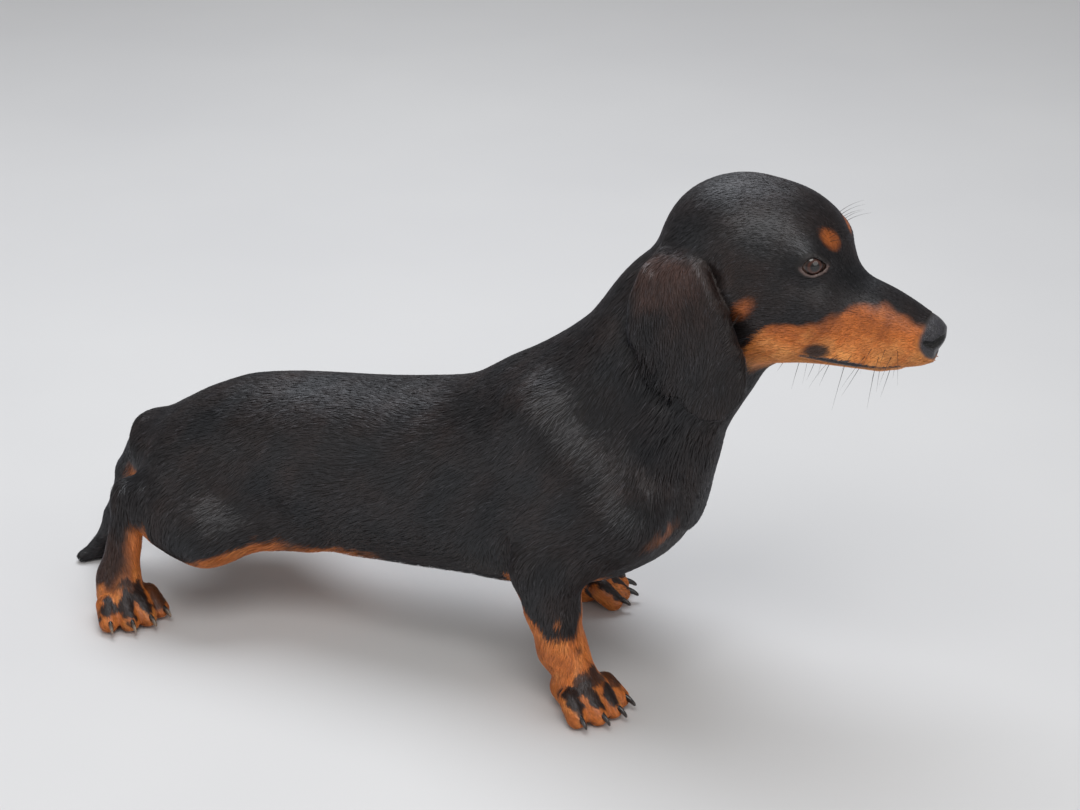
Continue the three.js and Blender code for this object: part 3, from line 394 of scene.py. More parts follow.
def tube(pts, radii):
    fs = [cone(pts[i], pts[i + 1], radii[i], radii[i + 1]) for i in range(len(pts) - 1)]

    def fn(P):
        d = fs[0](P)
        for f in fs[1:]:
            d = np.minimum(d, f(P))
        return d
    return fn


lip_groove = {s: tube(LIP[s], [0.06, 0.09, 0.1, 0.11, 0.11, 0.1, 0.08, 0.05]) for s in (-1, 1)}
lip_roll = {s: tube([p + A(0, -s * 0.16, 0.26) for p in LIP[s]], [0.18, 0.3, 0.34, 0.34, 0.32, 0.3, 0.26, 0.2]) for s in (-1, 1)}
nostril = {s: tube([A(19.98, s * 0.36, 20.0), A(19.86, s * 0.6, 19.93), A(19.6, s * 0.92, 19.8), A(19.28, s * 1.04, 19.92)], [0.15, 0.20, 0.15, 0.09]) for s in (-1, 1)}
philtrum = tube([A(20.02, 0, 19.72), A(19.85, 0, 19.4), A(19.6, 0, 19.1), A(19.4, 0, 18.9)], [0.03, 0.045, 0.04, 0.03])


def eye_coords(P, s):
    c, o, h, v = EYES[s]
    p = P - c
    return p @ o, p @ h, p @ v, np.sqrt((p * p).sum(1))


def opening(hh, vv):
    """almond of the eye: minus inside; the inner corner (towards the nose) is drawn out and a little lower"""
    inner = step(hh, 0.1, 0.75)
    vv = vv + 0.02 + 0.08 * inner
    H = np.where(vv > 0, 0.45, 0.37)
    W = 0.50 + 0.16 * inner
    return ((np.abs(hh / W) ** 1.55 + np.abs(vv / H) ** 1.75) ** 0.6 - 1) * 0.38


CREASES = []
for s_ in (-1, 1):
    e_ = LEGS["fore_right" if s_ < 0 else "fore_left"]["elbow"]
    k_ = LEGS["hind_right" if s_ < 0 else "hind_left"]
    CREASES += [
        (tube([A(e_[0] - 1.9, s_ * 4.9, 10.8), A(e_[0] - 2.1, s_ * 4.9, 8.6), A(e_[0] - 1.5, s_ * 4.9, 6.6)], [0.05] * 3), 0.20, 0.6),
        (tube([A(6.9, s_ * 3.3, 13.2), A(6.2, s_ * 4.0, 10.8), A(5.2, s_ * 4.6, 8.3)], [0.05] * 3), 0.16, 0.7),
        (tube([A(3.8, s_ * 3.9, 14.6), A(1.2, s_ * 4.4, 12.6), A(0.2, s_ * 4.9, 10.6)], [0.05] * 3), 0.13, 0.9),
        (tube([A(9.1, s_ * 1.8, 14.4), A(8.9, s_ * 2.1, 12.2), A(8.1, s_ * 2.6, 9.6)], [0.05] * 3), 0.20, 0.6),
        (tube([A(8.4, s_ * 3.2, 16.4), A(8.3, s_ * 3.0, 14.0), A(8.6, s_ * 2.2, 12.4)], [0.05] * 3), 0.18, 0.45),
        (tube([A(-13.2, s_ * 3.9, 9.4), A(-12.7, s_ * 4.2, 7.6), A(-12.2, s_ * 3.9, 5.8)], [0.05] * 3), 0.15, 0.8),
        (tube([A(-20.4, s_ * 4.0, 8.6), A(-19.2, s_ * 4.6, 7.2), A(-18.4, s_ * 5.1, 5.4)], [0.05] * 3), 0.12, 0.5)]


def skin_field(P, want=False):
    d, GD = field(P, True)
    d = d + coat_depth(P)
    m = np.flatnonzero((np.abs(d) < 0.9) & (np.abs(P[:, 1]) > 1.2) & (P[:, 2] > 5) & (P[:, 2] < 17.5) & ((P[:, 0] > -3.5) | (P[:, 0] < -11)))
    if len(m):
        Q = P[m]
        for f_, depth_, wide in CREASES:
            near = np.flatnonzero(f_(Q) < wide * 2.2)
            if len(near):
                d[m[near]] += depth_ * np.exp(-(np.maximum(f_(Q[near]), 0) / wide) ** 2)
    m = np.flatnonzero((P[:, 0] > 11.2) & (P[:, 2] > 17.0) & (d < 1.5))
    if len(m):
        Q, e = P[m], d[m]
        for s in (-1, 1):
            e = smin(e, lip_roll[s](Q), 0.28)
            e = smax(e, -lip_groove[s](Q), 0.07)
        for s in (-1, 1):
            e = smax(e, -nostril[s](Q), 0.06)
            o, hh, vv, r = eye_coords(Q, s)
            lid = np.sqrt(np.maximum(r, 1e-6) ** 2) - (EYE_RADIUS + 0.10)
            e2 = smin(e, lid, 0.45)
            # creases above and below the lids
            q = opening(hh, vv)
            e2 = e2 + np.where(o > 0, 0.022 * np.exp(-((q - 0.29) / 0.10) ** 2) * step(vv, -0.1, 0.3) + 0.02 * np.exp(-((q - 0.26) / 0.08) ** 2) * step(-vv, 0.1, 0.35), 0)
            front = o > 0.2
            e2 = np.where(front, smax(e2, -q, 0.07), e2)
            e2 = np.maximum(e2, -np.maximum(r - (EYE_RADIUS + 0.012), q - 0.07))
            near = r < 2.2
            e = np.where(near, e2, e)
        e = smax(e, -philtrum(Q), 0.05)
        d = d.copy()
        d[m] = e
    d = np.maximum(d, -P[:, 2])                  # soles and tail tip lie flat on the floor
    return (d, GD) if want else d


# ------------------------------------------------------------------ lattice, finer where the face and feet need it
def ruler(stops):
    out = [stops[0][0]]
    for (a, st), (b, _) in zip(stops[:-1], stops[1:]):
        n = max(1, int(round((b - a) / st)))
        out += list(a + (b - a) * (np.arange(1, n + 1) / n))
    return np.array(out)


def surface(fn, X, Y, Z, B=6):
    n = np.array([len(X), len(Y), len(Z)])
    nb = (n - 2) // B + 1
    D = np.full(tuple(nb * B + 1), 1e3, np.float32)
    def mid(C, i):
        a, b = C[np.minimum(i * B, len(C) - 1)], C[np.minimum((i + 1) * B, len(C) - 1)]
        return (a + b) / 2, (b - a) / 2
    I = np.stack(np.meshgrid(*[np.arange(k) for k in nb], indexing="ij"), -1).reshape(-1, 3)
    cx, rx = mid(X, I[:, 0]); cy, ry = mid(Y, I[:, 1]); cz, rz = mid(Z, I[:, 2])
    c = np.stack([cx, cy, cz], 1)
    R = np.sqrt(rx ** 2 + ry ** 2 + rz ** 2)
    v = field(c)
    act = np.abs(v) < R * 1.5 + 0.75
    for b in I[(~act) & (v < 0)]:
        i, j, k = b * B
        D[i:i + B + 1, j:j + B + 1, k:k + B + 1] = -1e3
    off = np.stack(np.meshgrid(*[np.arange(B + 1)] * 3, indexing="ij"), -1).reshape(-1, 3)
    bl = I[act]
    for i0 in range(0, len(bl), 3000):
        ijk = (bl[i0:i0 + 3000, None, :] * B + off[None]).reshape(-1, 3)
        ijk = ijk[(ijk < n).all(1)]
        lin = np.unique((ijk[:, 0] * n[1] + ijk[:, 1]) * n[2] + ijk[:, 2])
        i, r = np.divmod(lin, n[1] * n[2]); j, k = np.divmod(r, n[2])
        D[i, j, k] = fn(np.stack([X[i], Y[j], Z[k]], 1))
    D = D[:n[0], :n[1], :n[2]]
    S = D < 0
    tot = np.zeros(tuple(n - 1), np.int8)
    for a in (0, 1):
        for b in (0, 1):
            for c_ in (0, 1):
                tot += S[a:n[0] - 1 + a, b:n[1] - 1 + b, c_:n[2] - 1 + c_]
    mixed = (tot > 0) & (tot < 8)
    idx = np.full(mixed.shape, -1, np.int64)
    cells = np.argwhere(mixed)
    idx[mixed] = np.arange(len(cells))
    i, j, k = cells.T
    acc, cnt = np.zeros((len(cells), 3)), np.zeros(len(cells))
    for a in (0, 1):
        for b in (0, 1):
            for c_ in (0, 1):
                for ax in range(3):
                    q = [a, b, c_]
                    if q[ax]:
                        continue
                    q[ax] = 1
                    v0, v1 = D[i + a, j + b, k + c_], D[i + q[0], j + q[1], k + q[2]]
                    m = (v0 < 0) != (v1 < 0)
                    t = np.zeros(len(cells)); t[m] = v0[m] / (v0[m] - v1[m])
                    p = np.zeros((len(cells), 3)) + (a, b, c_); p[:, ax] += t
                    acc[m] += p[m]; cnt[m] += 1
    fr = acc / cnt[:, None]
    V = np.stack([X[i] + fr[:, 0] * (X[i + 1] - X[i]), Y[j] + fr[:, 1] * (Y[j + 1] - Y[j]), Z[k] + fr[:, 2] * (Z[k + 1] - Z[k])], 1)
    F = []
    for ax in range(3):
        a0, a1 = [slice(None)] * 3, [slice(None)] * 3
        a0[ax], a1[ax] = slice(0, -1), slice(1, None)
        E = np.argwhere(S[tuple(a0)] != S[tuple(a1)])
        o1, o2 = [(1, 2), (2, 0), (0, 1)][ax]
        E = E[(E[:, o1] > 0) & (E[:, o2] > 0) & (E[:, o1] < n[o1] - 1) & (E[:, o2] < n[o2] - 1)]
        ins = S[tuple(E.T)]
        q = []
        for d1, d2 in ((-1, -1), (0, -1), (0, 0), (-1, 0)):
            g = E.copy(); g[:, o1] += d1; g[:, o2] += d2
            q.append(idx[tuple(g.T)])
        q = np.stack(q, 1)
        q[~ins] = q[~ins][:, ::-1]
        F.append(q)
    F = np.concatenate(F)
    return V, F[(F >= 0).all(1)]


def gradient(fn, P, e=0.02):
    n = len(P)
    T = np.array([[1, -1, -1], [-1, -1, 1], [-1, 1, -1], [1, 1, 1]], float)
    v = fn(np.concatenate([P + t * e for t in T])).reshape(4, n)
    return np.einsum("kn,kc->nc", v, T) / (4 * e)


import time
T0 = time.time()
X = ruler([(-28, .24), (-23, .19), (-18.8, .36), (-1.5, .26), (8, .18), (12.7, .085), (15.2, .11), (18.4, .08), (20.5, 1)])
Yh = ruler([(0, .11), (1.3, .085), (3.0, .15), (6.5, .17), (8.9, 1)])
Y = np.concatenate([-Yh[:0:-1], Yh]) + 0.013
Z = ruler([(-.35, .13), (2.8, .3), (14.5, .2), (17.6, .11), (22.3, .08), (24.7, .15), (27.3, 1)])
V, F = surface(skin_field, X, Y, Z)
for _ in range(2):
    g = gradient(skin_field, V)
    d = skin_field(V)
    mv = (d / ((g * g).sum(1) + 0.05))[:, None] * g
    l = np.linalg.norm(mv, axis=1)
    V = V - mv * (np.minimum(l, 0.05) / (l + 1e-9))[:, None]
V[:, 2] = np.maximum(V[:, 2], 0.0)
N = gradient(skin_field, V, 0.03)
N /= np.linalg.norm(N, axis=1, keepdims=True) + 1e-9
_, GD = field(V, True)
print("skin", len(V), len(F), "s", round(time.time() - T0, 1))


# ------------------------------------------------------------------ markings: the same rule for the skin and for every lock
def hashed(P, k):
    """smooth noise from -1 to 1 at about k waves per cm"""
    out = np.zeros(len(P))
    rs = np.random.default_rng(int(k * 1000) + 7)
    for i in range(10):
        w = rs.normal(size=3)
        w = w / np.linalg.norm(w) * k * 6.283 * rs.uniform(0.6, 1.5)
        out += np.sin(P @ w + rs.uniform(0, 6.283))
    return np.clip(out / 4.5, -1, 1)


def limb_axis(leg):
    """the paw's forward and sideways directions, from the leg's yaw"""
    y = math.radians(leg["yaw"])
    f = A(math.cos(y), math.sin(y), 0)
    l = A(-math.sin(y), math.cos(y), 0)
    return f, l


def blob(P, c, r, soft=0.35):
    q = np.sqrt((((P - np.asarray(c, float)) / np.asarray(r, float)) ** 2).sum(1))
    return 1 - step(q, 1 - soft, 1 + soft)


def markings(P):
    """tan share, dark leather share (nose, lips, lid rims), warm brown share; P in cm in the dog's frame"""
    x, y, z = P.T
    ay = np.abs(y)
    n1, n2 = hashed(P, 0.35), hashed(P, 1.1)
    tan = np.zeros(len(P))
    # muzzle and cheeks below a line that rises from the corner of the jaw to the nose; the bridge stays black
    u = np.clip((x - 10.8) / (19.3 - 10.8), 0, 1.1)
    upper = 18.85 + 1.95 * step(u, 0.0, 0.24) - 0.15 * step(u, 0.26, 0.36) + 0.75 * step(u, 0.40, 0.64) - 0.75 * step(u, 0.76, 1.0) + 0.16 * n2
    bridge = np.interp(x, [12, 13.5, 15, 17, 18.7, 20], [2.3, 1.75, 1.15, 0.85, 0.8, 0.9])
    side = step(ay, bridge - 0.22, bridge + 0.22)
    muzz = (1 - step(z, upper - 0.22, upper + 0.22)) * side * step(x, 10.6, 11.5)
    under = (1 - step(z, 19.0, 19.5)) * step(x + 0.12 * n2, 11.0, 11.75) * step(z + 0.15 * n2, 17.4, 18.1)
    tan = np.maximum(tan, np.maximum(muzz, under))
    # throat: tan runs back under the jaw a little
    tan = np.maximum(tan, (1 - step(z, 19.2, 19.9)) * step(x + 0.12 * n2, 11.05, 11.8) * step(z + 0.15 * n2, 17.4, 18.1) * (1 - step(ay, 1.7, 2.6)) * (x < 14))
    # dark lip corner spot
    lipspot = np.zeros(len(P))
    for s in (-1, 1):
        lipspot = np.maximum(lipspot, blob(P, (14.5, s * 2.0, 19.25), (0.6, 0.8, 0.36), 0.4))
    # brow spots and cheek spots
    for s in (-1, 1):
        tan = np.maximum(tan, blob(np.stack([x + 0.75 * (z - 24.35), y, z], 1), (14.75, s * 1.3, 24.35), (0.31, 0.58, 0.46), 0.4) * 0.97)
        tan = np.maximum(tan, blob(np.stack([x - 0.45 * (z - 21.35), y, z], 1), (11.3, s * 3.0, 21.35), (0.52, 0.95, 0.62), 0.45) * 0.92)
    # chest: two spots over the forelegs' inner edges
    for s in (-1, 1):
        tan = np.maximum(tan, blob(P + 0.25 * n2[:, None], (6.2, s * 3.0, 9.15), (1.5, 1.6, 0.75), 0.35))
    # legs
    for name, leg in LEGS.items():
        f, l = limb_axis(leg)
        c = A(*leg["paw"])
        own = (P[:, 1] * leg["s"] > 2.2) & ((np.abs(x - c[0]) < 5.2))
        q = P - c
        fw, lat = q @ f, (q @ l) * leg["s"]         # lat grows to the outside
        if leg["fore"]:
            w = A(*leg["wrist"])
            t = np.clip(z / 7.0, 0, 1)
            back = x - (c[0] * (1 - t) + leg["elbow"][0] * t)
            top = 3.75 + 0.6 * n1 + 0.7 * n2 + 1.8 * step(-lat, -0.1, 0.9) + 1.9 * step(-back, -0.1, 0.9)
            near = own & (x < c[0] + 4) & (x > leg["elbow"][0] - 2.4)
            tan = np.where(near, np.maximum(tan, 1 - step(z, top - 0.35, top + 0.35)), tan)
        else:
            own = own & (x < -19.55 + 1.4 * (1 - step(z, 1.8, 2.6)))
            top = 4.6 + 0.5 * n1 + 1.0 * step(-lat, -0.2, 0.9)
            rearo = step(lat, -0.6, 0.1) * (1 - step(fw, 0.1, 0.9)) * step(z + 0.4 * n2, 1.5, 2.3)
            tan = np.where(own, np.maximum(tan, (1 - step(z, top - 0.5, top + 0.5)) * (1 - 0.95 * rearo)), tan)
    # belly edge and under the tail
    belly = (1 - step(z, 4.7 + 0.3 * n2, 5.35 + 0.3 * n2)) * step(x, -16.4, -15.0) * (1 - step(x, -9.5, -7.0)) * (1 - step(ay, 3.4, 4.3))
    tan = np.maximum(tan, 0.9 * belly)
    line = np.interp(x, [-18.4, -17.1, -14.0, -12.0], [3.65, 4.1, 5.3, 5.4]) + 0.22 * n2 + 0.12 * hashed(P, 1.9)
    edge = (1 - step(z, line - 0.22, line + 0.22)) * step(x, -18.7, -17.9) * (1 - step(x, -13.2, -11.6)) * (ay > 1.4) * (z > 2.8)
    tan = np.maximum(tan, 0.9 * edge)
    rump = blob(P, (-22.1, 0, 5.9), (1.0, 1.9, 1.3), 0.35)
    tan = np.maximum(tan, rump)
    m = np.flatnonzero((ay > 1.8) & (x > 3) & (x < 13) & (z > 14.5) & (z < 24.5))
    if len(m):
        ed = np.minimum(GROUPS[NG - 1][1](P[m]), GROUPS[NG - 2][1](P[m]))
        tan[m] = tan[m] * step(ed, 0.02, 0.14)
    # black pencilling on the toes
    pencil = np.zeros(len(P))
    for leg in LEGS.values():
        for i, (k, t, g) in enumerate(paw_frame(leg)[2]):
            c = k * 0.55 + t * 0.45 + A(0, 0, 0.42)
            sd = unit(np.cross(g, (0, 0, 1)))
            q = P - c
            a, b, h = q @ g, q @ sd, q[:, 2]
            r = np.sqrt((a / 1.0) ** 2 + (b / 0.38) ** 2 + (h / 0.75) ** 2) + 0.5 * hashed(P, 0.75) + 0.3 * hashed(P, 1.7)
            pencil = np.maximum(pencil, (1 - step(r, 0.88, 1.14)) * (1.0 if i in (0, 1, 2) else 0.85))
        y0 = math.radians(leg["yaw"])
        q = P - (A(*leg["paw"]) + A(0.35 * math.cos(y0), 0.35 * math.sin(y0), 2.0))
        r = np.sqrt((q[:, 0] / 0.9) ** 2 + (q[:, 1] / 0.8) ** 2 + (q[:, 2] / 0.38) ** 2) + 0.45 * n2
        pencil = np.maximum(pencil, (1 - step(r, 0.82, 1.12)) * 0.92)
    tan = tan * (1 - 0.98 * pencil * (1 - step(z, 2.6, 2.9)))
    tan = tan * (1 - 0.95 * lipspot)
    # bare dark leather: nose, lip line
    q = P - A(19.43, 0, 19.86)
    ax_ = axes(0, -20)
    rr = np.sqrt(((q @ ax_[0]) / 1.13) ** 2 + ((q @ ax_[1]) / 1.3) ** 2 + ((q @ ax_[2]) / 0.99) ** 2)
    leather = 1 - step(rr, 0.93, 1.05)
    leather = np.maximum(leather, (x > 18.9) * (1 - step(np.abs(philtrum(P)) - 0.02, 0.02, 0.12)))
    m = np.flatnonzero((x > 11.5) & (x < 19.6) & (z > 17.8) & (z < 20))
    if len(m):
        lip = np.minimum(lip_groove[-1](P[m]), lip_groove[1](P[m]))
        leather[m] = np.maximum(leather[m], 1 - step(lip - 0.14 * np.exp(-((x[m] - 15.6) / 0.9) ** 2), 0.0, 0.11))
    rim = np.zeros(len(P))
    m = np.flatnonzero((x > 12) & (x < 16) & (z > 22) & (z < 25.2))
    for s in (-1, 1):
        o, hh, vv, r = eye_coords(P[m], s)
        qo = opening(hh, vv)
        rim[m] = np.maximum(rim[m], np.where((o > 0.1) & (r < 1.6), 1 - step(qo, 0.06, 0.15), 0))
    # brownish cast where light soaks in
    warm = 0.35 + 0.35 * n1
    ears = step(ay, 2.9, 3.5) * step(z, 15, 16) * step(x, 3.5, 5) * (1 - step(x, 11.5, 12.5))
    warm = warm + 1.1 * ears * step(z, 18.5, 22.0)
    return np.clip(tan, 0, 1), np.clip(leather, 0, 1), np.clip(rim, 0, 1), np.clip(warm, 0, 1)


def lin(h):
    c = np.array([int(h[i:i + 2], 16) for i in (0, 2, 4)]) / 255
    return np.where(c <= 0.04045, c / 12.92, ((c + 0.055) / 1.055) ** 2.4)


BLACK, BROWN, TAN_D, TAN_M, TAN_L = lin("0c0b0d"), lin("2b1c16"), lin("84421a"), lin("c56d2b"), lin("e69a54")


def mix(a, b, t):
    t = np.asarray(t)[:, None]
    return a * (1 - t) + b * t


def coat_colour(P, jitter=0.0, light=None):
    tan, leather, rim, warm = markings(P)
    n = hashed(P, 0.8)
    black = mix(BLACK[None], BROWN[None], np.clip(warm * 0.8 * (0.8 + 0.3 * n), 0, 1.0))
    low = np.where(P[:, 0] > 10, 1 - step(P[:, 2], 18.9, 21.6), 0.55 + 0.0 * P[:, 2])
    pale = np.clip(0.18 + 0.6 * low + 0.14 * n + 0.10 * hashed(P, 2.3), 0, 1)
    if light is not None:
        pale = np.clip(pale + light, 0, 1)
    tanc = np.where((pale < 0.5)[:, None], mix(TAN_D[None], TAN_M[None], np.clip(pale * 2, 0, 1)), mix(TAN_M[None], TAN_L[None], np.clip(pale * 2 - 1, 0, 1)))
    fold = np.zeros(len(P))                       # brown hair and a painted highlight on the fold at the top of the ear
    for s in (-1, 1):
        fold = np.maximum(fold, blob(P + 0.3 * n[:, None], (7.3, s * 3.5, 22.2), (1.9, 1.3, 1.35), 0.5))
    black = mix(black, lin("4d332a")[None], fold * 0.55)
    c = mix(black, tanc, tan)
    x, ay, z = P[:, 0], np.abs(P[:, 1]), P[:, 2]
    m = np.flatnonzero((ay > 1.8) & (x > 3) & (x < 13) & (z > 14) & (z < 22.8))
    if len(m):                                    # painted shade: the coat is darkened where the ear hangs over it
        ed = np.minimum(GROUPS[NG - 1][1](P[m]), GROUPS[NG - 2][1](P[m]))
        c[m] = c[m] * (1 - 0.55 * np.exp(-(np.maximum(ed - 0.1, 0) / 0.33) ** 2) * step(ed, 0.03, 0.12))[:, None]
    return c, tan, leather, rim


# ------------------------------------------------------------------ lie of the coat
FLOW = [  # place, direction, reach (cm)
    ((-22.5, 0, 9.0), (-0.75, 0, -0.7), 2.6), ((-18, 0, 12), (-1, 0, -0.15), 4), ((-10, 0, 13), (-1, 0, -0.05), 5), ((0, 0, 15), (-1, 0, -0.1), 5),
    ((5, 0, 18), (-0.75, 0, -0.75), 3.2), ((8.5, 0, 25), (-0.95, 0, -0.35), 2.6), ((13, 0, 26), (-1, 0, 0.05), 2.5), ((17, 0, 22), (-0.95, 0, 0.25), 2.2), ((19.5, 0, 21), (-0.9, 0, 0.35), 1.2),
    ((-16, -4, 9), (-0.75, 0, -0.65), 3.5), ((-16, 4, 9), (-0.75, 0, -0.65), 3.5), ((-10, -5, 9), (-0.8, 0, -0.55), 4), ((-10, 5, 9), (-0.8, 0, -0.55), 4),
    ((-3, -5, 9), (-0.8, 0, -0.6), 4), ((-3, 5, 9), (-0.8, 0, -0.6), 4), ((2, -5, 12), (-0.6, 0, -0.8), 3), ((2, 5, 12), (-0.6, 0, -0.8), 3),
    ((6, -3, 15), (-0.3, 0, -0.95), 3), ((6, 3, 15), (-0.3, 0, -0.95), 3), ((9, 0, 15), (-0.05, 0, -1), 3), ((8, 0, 10), (-0.1, 0, -1), 2.5), ((10.5, 0, 18), (-0.5, 0, -0.85), 2),
    ((12, -3, 21), (-0.9, -0.2, -0.35), 2), ((12, 3, 21), (-0.9, 0.2, -0.35), 2), ((16, -2, 20.2), (-0.92, 0, -0.25), 2), ((16, 2, 20.2), (-0.92, 0, -0.25), 2), ((17, 0, 18.5), (-1, 0, 0), 1.5), ((13.8, -1.5, 25.2), (-0.8, -0.3, 0.3), 1), ((13.8, 1.5, 25.2), (-0.8, 0.3, 0.3), 1),
    ((8.5, -4, 20), (0.15, 0, -1), 2.5), ((8.5, 4, 20), (0.15, 0, -1), 2.5), ((6, -3.5, 21), (-0.3, 0, -1), 1.5), ((6, 3.5, 21), (-0.3, 0, -1), 1.5),
    ((2, 0, 4.5), (-1, 0, -0.3), 3), ((-8, 0, 4), (-1, 0, -0.3), 4), ((-24, 0, 4), (-0.55, 0, -0.85), 1.8), ((-26, 0, 0.5), (-0.9, -0.4, -0.1), 1.0)]
FC, FD, FR = [np.array([f[i] for f in FLOW], float) for i in range(3)]


def lie(P, Nn):
    d2 = ((P[:, None, :] - FC[None]) ** 2).sum(2) / (FR ** 2)[None]
    w = np.exp(-d2 * 1.1) + 1e-4 / (1 + d2) ** 2
    D = w @ FD
    # legs: down towards the floor, forward on the paws
    low = np.zeros(len(P))
    L = np.zeros((len(P), 3))
    for leg in LEGS.values():
        c = A(*leg["paw"])
        f, l = limb_axis(leg)
        top = A(*(leg["elbow"] if leg["fore"] else leg["hock"]))
        t = np.clip(P[:, 2] / top[2], 0, 1)
        ctr = c[None, :2] * (1 - t[:, None]) + top[None, :2] * t[:, None]
        r = np.linalg.norm(P[:, :2] - ctr, axis=1)
        wt = np.exp(-(r / 2.6) ** 2) * (1 - step(P[:, 2], top[2] - 0.5, top[2] + 2.0)) * (P[:, 1] * leg["s"] > 2)
        fwd = (1 - step(P[:, 2], 0.9, 2.2))
        dirn = np.array([-0.12, 0, -1.0])[None] * (1 - fwd[:, None]) + (f[None] * 1.0 + A(0, 0, -0.55)) * fwd[:, None]
        L += dirn * wt[:, None] * 3
        low = np.maximum(low, np.clip(wt * 1.6, 0, 1))
    D = D * (1 - low[:, None]) + L
    swirl = hashed(P, 0.12) * 0.35
    D = D + np.cross(Nn, D) * swirl[:, None]
    D = D - Nn * (D * Nn).sum(1, keepdims=True)
    return D / (np.linalg.norm(D, axis=1, keepdims=True) + 1e-9)


def hair_size(P):
    """length, half width and lift of the locks, in cm"""
    x, y, z = P.T
    ay = np.abs(y)
    L = np.full(len(P), 0.85)
    face = step(x, 10.5, 13) * step(z, 16, 18)
    muzzle = face * step(x, 13.5, 16)
    skull = step(x, 7, 9.5) * step(z, 20.5, 22.5)
    L = L * (1 - 0.42 * skull)
    L = L * (1 - face) + 0.40 * face
    L = L * (1 - muzzle) + 0.27 * muzzle
    low = 1 - step(z, 2.2, 5)
    L = L * (1 - low) + 0.4 * low
    L = np.where((z < 1.6) & (x > -24), 0.30, L)
    ear = step(ay, 2.9, 3.4) * step(z, 14.5, 15.5) * step(x, 3.2, 4.5) * (1 - step(x, 11.8, 12.5)) * step(z, 15, 16)
    L = L * (1 - ear * 0.25)
    ridge = np.exp(-((x - (9.4 - 0.36 * (z - 10))) / 1.0) ** 2) * np.exp(-((ay - 3.2) / 1.1) ** 2) * step(z, 11.5, 13) * (1 - step(z, 17.5, 19))
    L = L + 0.7 * ridge
    fringe = (1 - step(z, 4.5, 5.4)) * step(x, -15, -12.5) * (1 - step(x, 2.5, 4.5)) * (1 - step(ay, 2.4, 3.4))
    L = L + 0.35 * fringe
    breech = blob(P, (-20.9, 0, 6.5), (2.4, 4.5, 2.0), 0.4) * 0.35
    L = L + breech
    tail = (1 - step(x, -25.6, -24.4)) * 0.25
    L = L + tail
    lift = 0.09 + 0.25 * ridge + 0.2 * fringe + 0.16 * tail + 0.1 * breech
    Wd = np.clip(0.015 + 0.008 * L, 0.014, 0.026)
    return L, Wd, lift


# ------------------------------------------------------------------ meshes into Blender
def make_object(name, verts, faces, uv=None, colours=None, smooth=True, ride=True, normals=None):
    me = bpy.data.meshes.new(name)
    n = len(faces)
    k = faces.shape[1]
    me.vertices.add(len(verts))
    me.vertices.foreach_set("co", np.asarray(verts, np.float32).ravel())
    me.loops.add(n * k)
    me.loops.foreach_set("vertex_index", faces.astype(np.int32).ravel())
    me.polygons.add(n)
    me.polygons.foreach_set("loop_start", (np.arange(n) * k).astype(np.int32))
    me.polygons.foreach_set("loop_total", np.full(n, k, np.int32))
    me.update(calc_edges=True)
    me.polygons.foreach_set("use_smooth", np.full(n, smooth))
    for cname, arr in (colours or {}).items():
        at = me.attributes.new(cname, "FLOAT_COLOR", "POINT")
        a = np.ones((len(verts), 4), np.float32)
        a[:, :arr.shape[1]] = arr
        at.data.foreach_set("color", a.ravel())
    if uv is not None:
        lay = me.uv_layers.new(name="OFBake")
        lay.data.foreach_set("uv", uv[faces.ravel()].astype(np.float32).ravel())
    if normals is not None:
        me.normals_split_custom_set_from_vertices(np.asarray(normals, np.float32))
    ob = bpy.data.objects.new(name, me)
    bpy.context.collection.objects.link(ob)
    if ride:
        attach(ob, "root")
    return ob


class Nodes:
    """a short way to write a node material"""
    def __init__(self, name):
        self.m = bpy.data.materials.new(name)
        self.m.use_nodes = True
        self.t = self.m.node_tree
        self.b = self.t.nodes["Principled BSDF"]

    def n(self, kind, ins=None, **kw):
        d = self.t.nodes.new(kind)
        for k, v in kw.items():
            setattr(d, k, v)
        for k, v in (ins or {}).items():
            if isinstance(v, bpy.types.NodeSocket):
                self.t.links.new(v, d.inputs[k])
            else:
                d.inputs[k].default_value = v
        return d

    def math(self, op, a, b=0.0, clamp=False):
        d = self.n("ShaderNodeMath", {0: a, 1: b}, operation=op)
        d.use_clamp = clamp
        return d.outputs[0]

    def ramp(self, v, stops):
        d = self.n("ShaderNodeValToRGB", {0: v})
        e = d.color_ramp.elements
        while len(e) < len(stops):
            e.new(0.5)
        for el, (p, c) in zip(e, stops):
            el.position = p
            el.color = tuple(c) + (1,) if len(c) == 3 else c
        return d.outputs[0]

    def mixc(self, f, a, b, mode="MIX"):
        d = self.n("ShaderNodeMix", data_type="RGBA", blend_type=mode)
        for i, v in ((0, f), (6, a), (7, b)):
            if isinstance(v, bpy.types.NodeSocket):
                self.t.links.new(v, d.inputs[i])
            else:
                d.inputs[i].default_value = v if i == 0 else (tuple(v) + (1,) if len(v) == 3 else v)
        return d.outputs[2]

    def noise(self, scale, detail=3.0, rough=0.5, vec=None):
        ins = {"Scale": scale, "Detail": detail, "Roughness": rough}
        if vec is not None:
            ins["Vector"] = vec
        return self.n("ShaderNodeTexNoise", ins).outputs[0]

    def bump(self, h, strength, dist, normal=None):
        ins = {"Height": h, "Strength": strength, "Distance": dist}
        if normal is not None:
            ins["Normal"] = normal
        return self.n("ShaderNodeBump", ins).outputs[0]

    def set(self, **kw):
        for k, v in kw.items():
            k = k.replace("_", " ")
            if isinstance(v, bpy.types.NodeSocket):
                self.t.links.new(v, self.b.inputs[k])
            else:
                self.b.inputs[k].default_value = v


def shade(m, ins):
    for k, v in ins.items():
        if isinstance(v, bpy.types.NodeSocket):
            m.t.links.new(v, m.b.inputs[k])
        else:
            m.b.inputs[k].default_value = v


